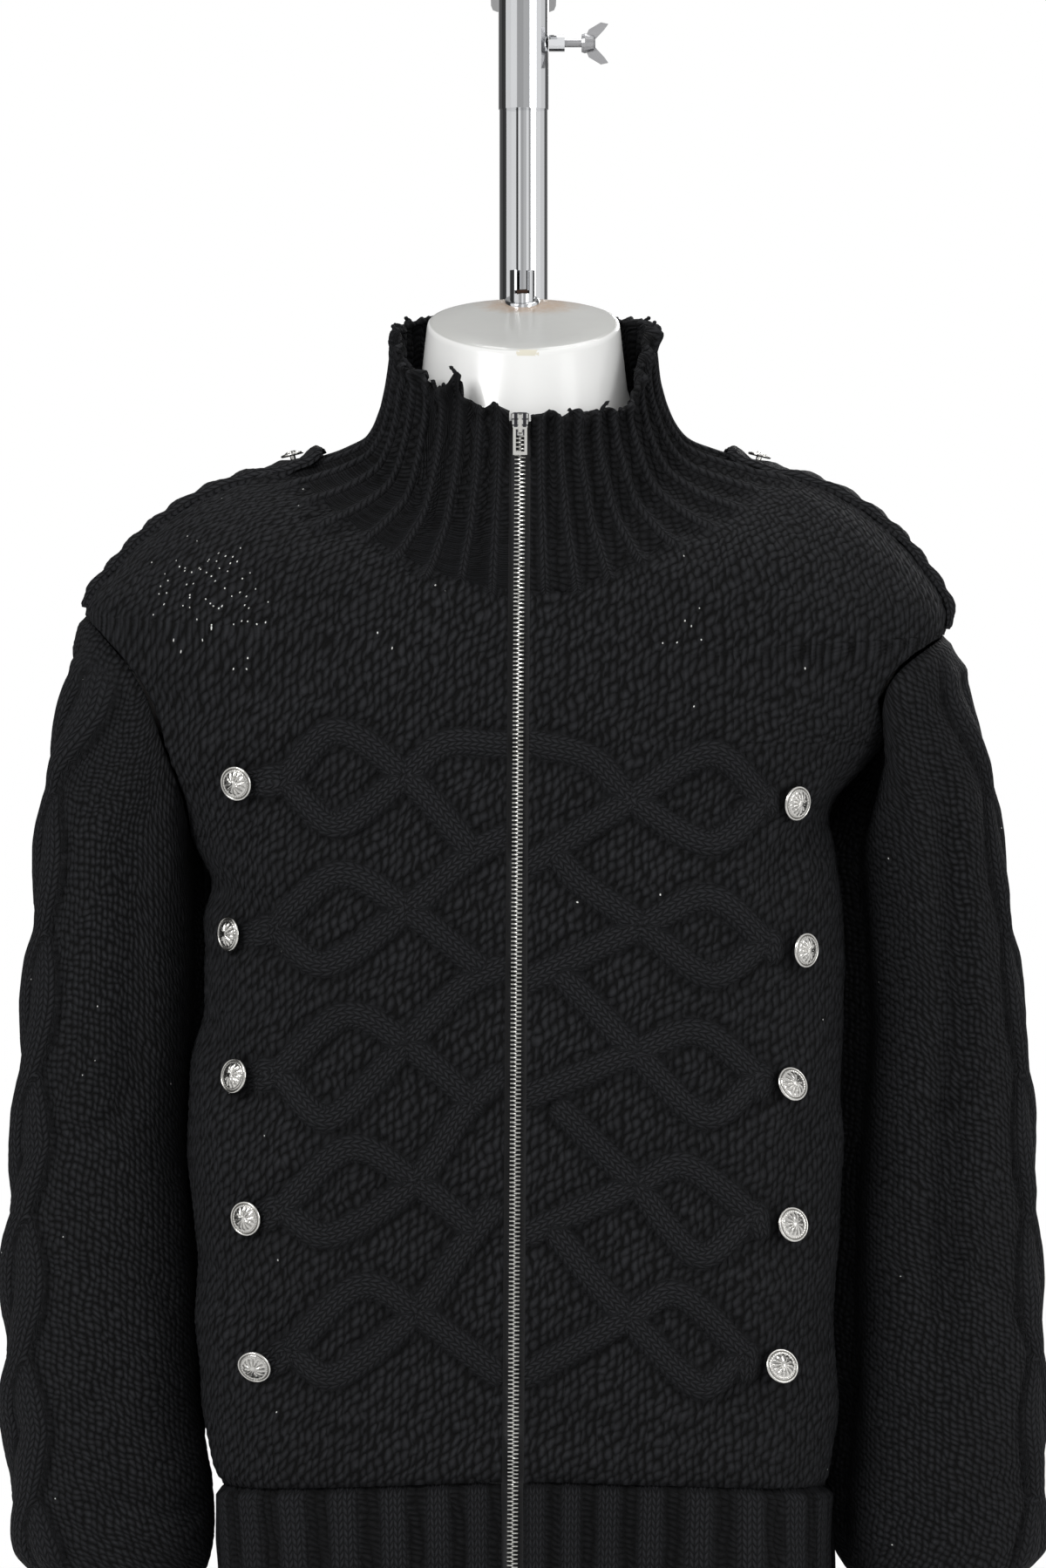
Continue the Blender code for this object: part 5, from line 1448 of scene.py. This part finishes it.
def capLevel(y):
    # the height of the neck's slanted cap
    return formPiece["capZ"] + formPiece["neckTilt"] * (y - formPiece["capY"])


def rustMask(look, place, x, y):
    # rust has run from the socket over the cap, mostly to the right of it
    middleX, middleY = formLook["rustMiddle"]
    away = look.node("ShaderNodeVectorMath", operation="LENGTH")
    off = look.vector(look.minus(x, middleX), look.times(look.minus(y, middleY), 1.6))
    look.feed(away.inputs[0], off)
    wander = look.calc("MULTIPLY_ADD", look.noise(place, 160.0, 4.0), 0.020, -0.010)
    ragged = look.plus(away.outputs["Value"], wander)
    return look.minus(1.0, look.band(ragged, *formLook["rustReach"]))


def chipMask(look, place, x, y, z):
    # a chip shows cream plaster at the front of the rim
    off = look.over(look.minus(x, formLook["chipX"]), formLook["chipHalf"])
    reach = look.plus(look.times(off, off), look.times(look.noise(place, 500.0, 2.0), 1.2))
    front = look.calc("LESS_THAN", y, formLook["chipY"])
    above = look.calc("GREATER_THAN", z, formLook["chipZ"])
    return look.times(look.calc("LESS_THAN", reach, 1.0), front, above, formLook["chipShare"])


def formMaterial():
    look = Look("glossy_white_form", (0.72, 0.72, 0.71), 0.22)
    place = look.objectPlace()
    x, y, z = look.parts(place)
    # the cap's flat face, which stands on the slope, gets painted shade: a grey on the white
    slope = look.minus(z, look.times(y, formPiece["neckTilt"]))
    top = look.band(slope, capLevel(0) - 0.0012, capLevel(0) - 0.0004)
    streaks = look.lerp(look.noise(place, 420.0, 3.0), 0.35, 1.0)
    stain = look.times(rustMask(look, place, x, y), top, streaks)
    clean = look.blend(look.noise(place, 26.0, 3.0), *formLook["white"])
    colour = look.blend(top, clean, formLook["cap"])
    colour = look.blend(chipMask(look, place, x, y, z), colour, formLook["plaster"])
    look.give("Base Color", look.blend(stain, colour, formLook["rust"]))
    look.give("Roughness", look.lerp(look.noise(place, 45.0, 3.0), *formLook["rough"]))
    look.give("Coat Weight", formLook["coat"])
    look.give("Coat Roughness", formLook["coatRough"])
    look.bump(look.noise(place, 90.0, 3.0), 0.00015)
    return look.material


formWhite = formMaterial()


def spunShape(profile, steps):
    # a closed shape turned about +Z from (radius, height) points
    work = bmesh.new()
    points = [work.verts.new((radius, 0, height)) for radius, height in profile]
    edges = [work.edges.new(pair) for pair in zip(points, points[1:])]
    if profile[0][0] > 0:
        edges.append(work.edges.new((points[-1], points[0])))
    bmesh.ops.spin(
        work, geom=points + edges, cent=(0, 0, 0), axis=(0, 0, 1), angle=fullTurn,
        steps=steps, use_merge=True,
    )
    bmesh.ops.remove_doubles(work, verts=work.verts, dist=fineWeld)
    return work


def standUp(work, place, axis):
    turn = Vector((0, 0, 1)).rotation_difference(Vector(axis)).to_matrix().to_4x4()
    bmesh.ops.transform(work, matrix=Matrix.Translation(place) @ turn, verts=work.verts)


buttonPiece = {
    "radius": 0.0108, "steps": 96, "petals": 12, "beads": 32, "sharp": 50,
    "rosette": (0.14, 0.70), "beadRing": (0.72, 0.84), "groove": 0.88,
    "leafHigh": 0.070, "ringHigh": 0.026, "leafSunk": 0.062, "beadHigh": 0.035,
    # how far each button's face leans: to the right and up
    "lean": {"left": ((0.04, 0.03), (0.02, -0.05), (-0.04, 0.02), (0.10, -0.06), (0.30, -0.42)),
             "right": ((0.0, 0.06), (0.05, -0.05), (-0.06, 0.30), (-0.14, 0.22), (-0.20, 0.28))},
}
# radius and height, as shares of the button's radius, from its foot to the crown
buttonProfile = (
    (0.0, 0.055), (0.24, 0.055), (0.24, 0.42), (0.90, 0.42), (0.97, 0.45), (1.0, 0.50), (1.0, 0.55),
    (0.975, 0.605), (0.935, 0.635), (0.895, 0.635), (0.865, 0.60), (0.845, 0.575), (0.82, 0.595),
    (0.79, 0.635), (0.755, 0.64), (0.725, 0.62), (0.69, 0.645), (0.64, 0.685), (0.58, 0.72),
    (0.52, 0.75), (0.45, 0.778), (0.38, 0.80), (0.31, 0.818), (0.24, 0.83), (0.18, 0.838),
    (0.12, 0.855), (0.06, 0.872), (0.0, 0.878),
)


def faceRelief(reach, turn):
    # the button's face at a share of its radius: how far it rises, how dark it lies
    values = buttonPiece
    inner, outer = values["rosette"]
    beadInner, beadOuter = values["beadRing"]
    if inner < reach < outer:
        # a plain rosette of pointed leaves
        leaf = abs(math.cos(turn * values["petals"] / 2)) ** 1.6
        shape = smooth((reach - 0.12) / 0.16) * smooth((outer - reach) / 0.12)
        ring = 0.5 + 0.5 * math.cos((reach - 0.30) * fullTurn / 0.20)
        rise = values["leafHigh"] * leaf + values["ringHigh"] * ring - values["leafSunk"]
        return rise * shape, 0.85 * shape * (1 - smooth(leaf * 1.4 + 0.35 * ring))
    if beadInner < reach < beadOuter:
        bead = 0.5 + 0.5 * math.cos(turn * values["beads"])
        return values["beadHigh"] * bead, 0.5 * (1 - bead)
    return 0.0, 0.7 if beadOuter <= reach < values["groove"] else 0.0


def makeButton(name, node, place, normal, radius, turned):
    values = buttonPiece
    work = spunShape([(r * radius, h * radius) for r, h in buttonProfile], values["steps"])
    hollow = work.verts.layers.float.new("hollow")
    for vert in work.verts:
        if vert.co.z >= radius * 0.5:
            reach = math.hypot(vert.co.x, vert.co.y) / radius
            rise, vert[hollow] = faceRelief(reach, math.atan2(vert.co.y, vert.co.x) + turned)
            vert.co.z += radius * rise
    standUp(work, place, normal)
    made = meshObject(name, work, values["sharp"])
    finishPiece(made, silverButton, node)


for side in signs:
    for index, (x, z) in enumerate(buttonPlaces(side)):
        angle = angleAt(x, z)
        right, up = buttonPiece["lean"][side][index]
        facing = (bodyNormal(angle, z) + Vector((right, 0, up))).normalized()
        makeButton(
            f"domed_button_{side}_{index + 1}", f"button_{side}_{index + 1}", bodySkin(angle, z),
            facing, buttonPiece["radius"], index * 0.7,
        )
    part = strapPiece["buttonPart"]
    along = strapAlong(side, part)
    angle = signs[side] * quarter
    makeButton(
        f"domed_strap_button_{side}", f"strap_button_{side}",
        bodyPoint(angle, along, strapOut(part, 0)[0] - strapPiece["buttonSunk"]), bodyNormal(angle, along),
        strapPiece["buttonRadius"], 0.3,
    )
print("buttons set")

zipPiece = {
    "low": 0.130, "high": 0.986, "pitch": 0.0026, "toothHigh": 0.00112, "toothDeep": 0.0024,
    "near": -0.0005, "far": 0.0034, "level": -0.0024, "headDeep": 0.86, "footHigh": 0.78,
    "toothEdge": 0.00028, "searchStep": 0.0002, "tapeNear": 0.0012, "tapeFar": 0.0165,
    "tapeLevel": -0.0037, "tapeDip": 0.0006, "tapeColumns": 8, "tapeRows": 300, "tapeWall": 0.0012,
}


def zipPoint(side, along, off, out):
    z = bodySkin(0, along).z
    return bodyPoint(angleAt(zipX(z) + signs[side] * off, along), along, out)


def toothPlaces(side):
    # where each tooth stands along the zip, at an even pitch along its curve
    values = zipPiece
    along = values["low"]
    last = zipPoint(side, along, 0, 0)
    gone = 0.0 if side == "left" else values["pitch"] / 2
    while along < values["high"]:
        along += values["searchStep"]
        point = zipPoint(side, along, 0.0, values["level"])
        gone += (point - last).length
        last = point
        if gone >= values["pitch"]:
            gone -= values["pitch"]
            yield along, point


def makeTeeth(side):
    sign = signs[side]
    values = zipPiece
    wide = values["far"] - values["near"]
    work = bmesh.new()
    for along, point in toothPlaces(side):
        up = (zipPoint(side, along + 0.001, 0, 0) - zipPoint(side, along - 0.001, 0, 0)).normalized()
        ahead = bodyNormal(0, along)
        across = up.cross(ahead).normalized() * -1
        made = bmesh.ops.create_cube(work, size=1)["verts"]
        for vert in made:
            # the head is a little taller and less deep than the foot that clamps the tape
            head = vert.co.x * sign < 0
            tall = values["toothHigh"] * (1.0 if head else values["footHigh"])
            deep = values["toothDeep"] * (values["headDeep"] if head else 1.0)
            middle = sign * (values["near"] + wide / 2)
            vert.co = Vector((vert.co.x * wide + middle, vert.co.y * deep, vert.co.z * tall))
        right = across if across.x >= 0 else -across
        turn = Matrix((right, ahead * -1, up)).transposed().to_4x4()
        bmesh.ops.transform(work, matrix=Matrix.Translation(point) @ turn, verts=made)
        edges = {edge for vert in made for edge in vert.link_edges}
        front = [e for e in edges if abs((e.verts[0].co - e.verts[1].co).normalized().dot(ahead)) < 0.5]
        bmesh.ops.bevel(
            work, geom=front, offset=values["toothEdge"], segments=1, affect="EDGES", profile=0.5,
            material=-1,
        )
    made = meshObject(f"metal_teeth_{side}", work, 45)
    finishPiece(made, nickel, f"zip_teeth_{side}")


def tapeMaterial():
    look = Look("black_zip_tape", (0.012, 0.012, 0.0135), 0.7)
    x, y = look.uv("Cloth")
    weave = look.calc("SINE", look.times(look.plus(x, y), 6.0))
    weft = look.calc("SINE", look.times(look.minus(x, y), 6.0))
    look.bump(look.times(weave, weft), 0.00015)
    look.give("Sheen Weight", 0.15)
    return look.material


tapeWoven = tapeMaterial()


def makeTape(side):
    values = zipPiece
    heights = evenly(values["low"], values["high"], values["tapeRows"])

    def place(s, along):
        off = values["tapeNear"] + (values["tapeFar"] - values["tapeNear"]) * fromZip(side, s)
        return zipPoint(side, along, off, values["tapeLevel"])

    def dress(s, along, point, u, v):
        return -values["tapeDip"] * smooth(fromZip(side, s) * 4), 0.0, 0.0, 0.0, 0.0, 0.0

    made = knitPiece(
        f"woven_tape_{side}", values["tapeColumns"], heights, place, dress, wall=values["tapeWall"],
    )
    finishPiece(made, tapeWoven, f"zip_tape_{side}")
    return made


for side in signs:
    makeTeeth(side)
zipTapes = {side: makeTape(side) for side in signs}
print("zip made")

formGap = Rows(("along", "ridge", "face"), (
    (0.100, 0.0120, 0.0120), (0.560, 0.0130, 0.0120), (0.620, 0.0170, 0.0120),
    (0.680, 0.0170, 0.0110), (0.740, 0.0110, 0.0095), (0.785, 0.0045, 0.0080),
    (0.812, 0.0012, 0.0085), (0.850, 0.0009, 0.0080), (0.885, 0.0050, 0.0080),
    (0.905, 0.0090, 0.0100), (0.930, 0.0130, 0.0130), (0.978, 0.0155, 0.0155),
    (1.040, 0.0155, 0.0155),
))


def formPoint(angle, along):
    ridge = formGap.at("ridge", along)
    inset = ridge + (formGap.at("face", along) - ridge) * math.sqrt(abs(math.cos(angle)))
    inset += formPiece["shoulderEase"] * smooth((along - 0.70) / 0.06) * smooth((0.92 - along) / 0.03)
    return bodyPoint(angle, along, -cloth["wall"] - inset)


def formRing(along):
    count = formPiece["columns"]
    return [formPoint(fullTurn * index / count, along) for index in range(count)]


def formRings():
    # rings of points from the foot up to the middle of the cap
    values = formPiece
    count = values["columns"]
    hipOut = -cloth["wall"] - values["hipInset"]
    hips = [bodyPoint(fullTurn * i / count, cloth["hemEnd"], hipOut) for i in range(count)]
    rings = []
    for shrink, z in values["foot"]:
        rings.append([Vector((p.x * shrink, p.y * shrink, values["low"] + z)) for p in hips])
    index = 0
    while values["rowLow"] + values["rowStep"] * index < values["rowHigh"]:
        rings.append(formRing(values["rowLow"] + values["rowStep"] * index))
        index += 1
    edge = formRing(values["top"])
    middle = sum(edge, Vector()) / len(edge)
    for inset, drop in values["rim"]:
        ring = []
        for p in edge:
            spot = p + Vector((middle.x - p.x, middle.y - p.y, 0)).normalized() * inset
            ring.append(Vector((spot.x, spot.y, capLevel(spot.y) - drop)))
        rings.append(ring)
    # the cap's first inner ring follows the rim, the others the neck
    outlines = [rings[-1]] + [edge] * (len(values["capShrinks"]) - 1)
    for shrink, outline in zip(values["capShrinks"], outlines):
        spots = [middle + (p - middle) * shrink for p in outline]
        rings.append([Vector((spot.x, spot.y, capLevel(spot.y))) for spot in spots])
    return rings


def makeForm():
    rings = formRings()
    count = formPiece["columns"]
    work = bmesh.new()
    for vert, column, row in gridOf(work, count, len(rings) - 1):
        vert.co = rings[row][column % count]
    bmesh.ops.remove_doubles(work, verts=work.verts, dist=fineWeld)
    made = meshObject("torso_form", work)
    finishPiece(made, formWhite, "form")
    return made


torsoForm = makeForm()
print("form made")

# The socket: a tube on a slanted flange, open in front above a rusty pin that the rod rests on.
socketPiece = {
    "x": -0.0008, "y": 0.0, "inner": 0.0056, "outer": 0.0078, "slotLow": 0.9485, "top": 0.9632,
    "slotHalf": 0.62, "rooted": 0.006, "overlap": 0.0002, "flange": 0.0108, "flangeThick": 0.0020,
    "flangeSunk": 0.0015, "pinRadius": 0.0015, "pinLong": 0.0066, "pinLift": 0.0010, "steps": 44,
}


def wallSection(low, high):
    # the tube's wall, cut through
    inner, outer = socketPiece["inner"], socketPiece["outer"]
    return (inner, low), (outer, low), (outer, high), (inner, high)


def makeSocket():
    values = socketPiece
    centre = Vector((values["x"], values["y"], 0))
    seat = capLevel(values["y"])
    work = spunShape(wallSection(seat - values["rooted"], values["slotLow"]), values["steps"])
    # the two cheeks beside the slot are a part turn of the same wall
    turned = Matrix.Rotation(-quarter + values["slotHalf"], 3, "Z")
    section = wallSection(values["slotLow"] - values["overlap"], values["top"])
    start = work.faces.new([work.verts.new(turned @ Vector((r, 0, z))) for r, z in section])
    bmesh.ops.spin(
        work, geom=[start], cent=(0, 0, 0), axis=(0, 0, 1),
        angle=fullTurn - 2 * values["slotHalf"], steps=values["steps"],
    )
    bmesh.ops.translate(work, verts=work.verts, vec=centre)
    finishPiece(meshObject("socket_tube", work, 40), chrome, "form_socket")
    thick, wide, sunk = values["flangeThick"], values["flange"], -values["flangeSunk"]
    work = spunShape([
        (0.0, sunk), (wide, sunk), (wide, thick * 0.6), (wide - 0.0006, thick * 0.92),
        (wide - 0.0016, thick), (0.0, thick),
    ], values["steps"])
    slant = Vector((0, -formPiece["neckTilt"], 1)).normalized()
    standUp(work, centre + Vector((0, 0, seat)), slant)
    finishPiece(meshObject("socket_flange", work, 50), chrome, "form_socket")
    work = bmesh.new()
    bmesh.ops.create_cone(
        work, cap_ends=True, segments=16, radius1=values["pinRadius"], radius2=values["pinRadius"],
        depth=values["pinLong"],
    )
    pinPlace = Vector((0, -values["outer"] * 0.86, values["slotLow"] + values["pinLift"]))
    standUp(work, centre + pinPlace, (1, 0, 0.05))
    finishPiece(meshObject("socket_pin", work, 40), rust, "form_socket")


makeSocket()
print("socket made")

chromeNodes = ("form_socket", "rod", "sleeve_tube", "bolt_boss", "column", "arm", "base")
nodeMetals = {name: chrome for name in chromeNodes}
nodeMetals |= {"wing_bolt": satin, "zip_slider": slider, "zip_bail": nickel, "zip_pull": nickel}
for name, metal in nodeMetals.items():
    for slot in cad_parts[name].material_slots:
        slot.material = metal

floorPiece = {"radius": 1.42, "segments": 96, "greys": ((0.80, 0.80, 0.80), (0.84, 0.84, 0.84))}
floorWork = bmesh.new()
bmesh.ops.create_circle(
    floorWork, cap_ends=True, segments=floorPiece["segments"], radius=floorPiece["radius"],
)
floor = meshObject("studio_floor", floorWork)
floorLook = Look("pale_floor", floorPiece["greys"][0], 0.6)
floorShade = floorLook.noise(floorLook.objectPlace(), 3.0, 2.0)
floorLook.give("Base Color", floorLook.blend(floorShade, *floorPiece["greys"]))
floor.data.materials.append(floorLook.material)

# place, the height it is aimed at, width and height, power
lights = {
    "key_box": ((-1.9, -2.6, 2.3), 0.6, (1.2, 1.2), 72),
    "fill_box": ((2.4, -2.2, 1.1), 0.6, (1.0, 1.6), 26),
    "top_box": ((0.3, 0.6, 2.9), 0.7, (1.4, 1.0), 22),
    "back_box": ((1.3, 3.0, 2.0), 0.6, (1.6, 1.2), 48),
}
for name, (place, aimZ, size, power) in lights.items():
    lightData = bpy.data.lights.new(name, "AREA")
    lightData.shape = "RECTANGLE"
    lightData.size, lightData.size_y = size
    lightData.energy = power
    light = putInScene(name, lightData)
    light.location = place
    light.rotation_euler = (Vector((0, 0, aimZ)) - Vector(place)).to_track_quat("-Z", "Y").to_euler()

# what the chrome mirrors: soft boxes with dark gaps between them, degrees from the camera
studioTurns = (
    (-180, 0.45), (-160, 0.30), (-128, 0.05), (-84, 0.06), (-74, 1.10), (-38, 1.05), (-26, 0.55),
    (-8, 0.50), (-3, 1.25), (8, 1.20), (14, 0.62), (36, 0.80), (60, 1.10), (104, 1.00), (118, 0.16),
    (150, 0.10), (180, 0.45),
)
studioStrength = 0.86


def makeStudio():
    world = bpy.data.worlds.new("studio")
    world.use_nodes = True
    bpy.context.scene.world = world
    studio = Nodes(world.node_tree)
    x, y, _ = studio.parts(studio.node("ShaderNodeTexCoord").outputs["Generated"])
    bearing = studio.calc("ARCTAN2", x, studio.times(y, -1))
    ramp = studio.node("ShaderNodeValToRGB")
    studio.feed(ramp.inputs[0], studio.calc("MULTIPLY_ADD", bearing, 1 / fullTurn, 0.5))
    stops = ramp.color_ramp.elements
    while len(stops) < len(studioTurns):
        stops.new(0.5)
    for stop, (turn, level) in zip(stops, studioTurns):
        stop.position = turn / 360 + 0.5
        stop.color = (level, level, level, 1)
    room = studio.tree.nodes["Background"]
    studio.feed(room.inputs["Color"], ramp.outputs[0])
    room.inputs["Strength"].default_value = studioStrength
    # the camera itself sees plain white paper
    paper = studio.node("ShaderNodeBackground")
    paper.inputs["Color"].default_value = (1, 1, 1, 1)
    choice = studio.node("ShaderNodeMixShader")
    straight = studio.node("ShaderNodeLightPath").outputs["Is Camera Ray"]
    for socket, value in zip(choice.inputs, (straight, room.outputs[0], paper.outputs[0])):
        studio.feed(socket, value)
    studio.feed(studio.tree.nodes["World Output"].inputs["Surface"], choice.outputs[0])


makeStudio()
bpy.context.scene.view_settings.view_transform = "Standard"

# "seen" is the height of what the picture shows, in metres at the jacket
cameraPlace = {"x": -0.0003, "away": 4.8, "z": 0.6447, "sensor": 36, "seen": 0.9724}
cameraData = bpy.data.cameras.new("camera")
cameraData.sensor_width = cameraPlace["sensor"]  # across the frame's long side
cameraData.lens = cameraPlace["sensor"] * cameraPlace["away"] / cameraPlace["seen"]
camera = putInScene("camera", cameraData)
camera.location = (cameraPlace["x"], -cameraPlace["away"], cameraPlace["z"])
camera.rotation_euler = (quarter, 0, 0)
bpy.context.scene.camera = camera
print("light and camera set")
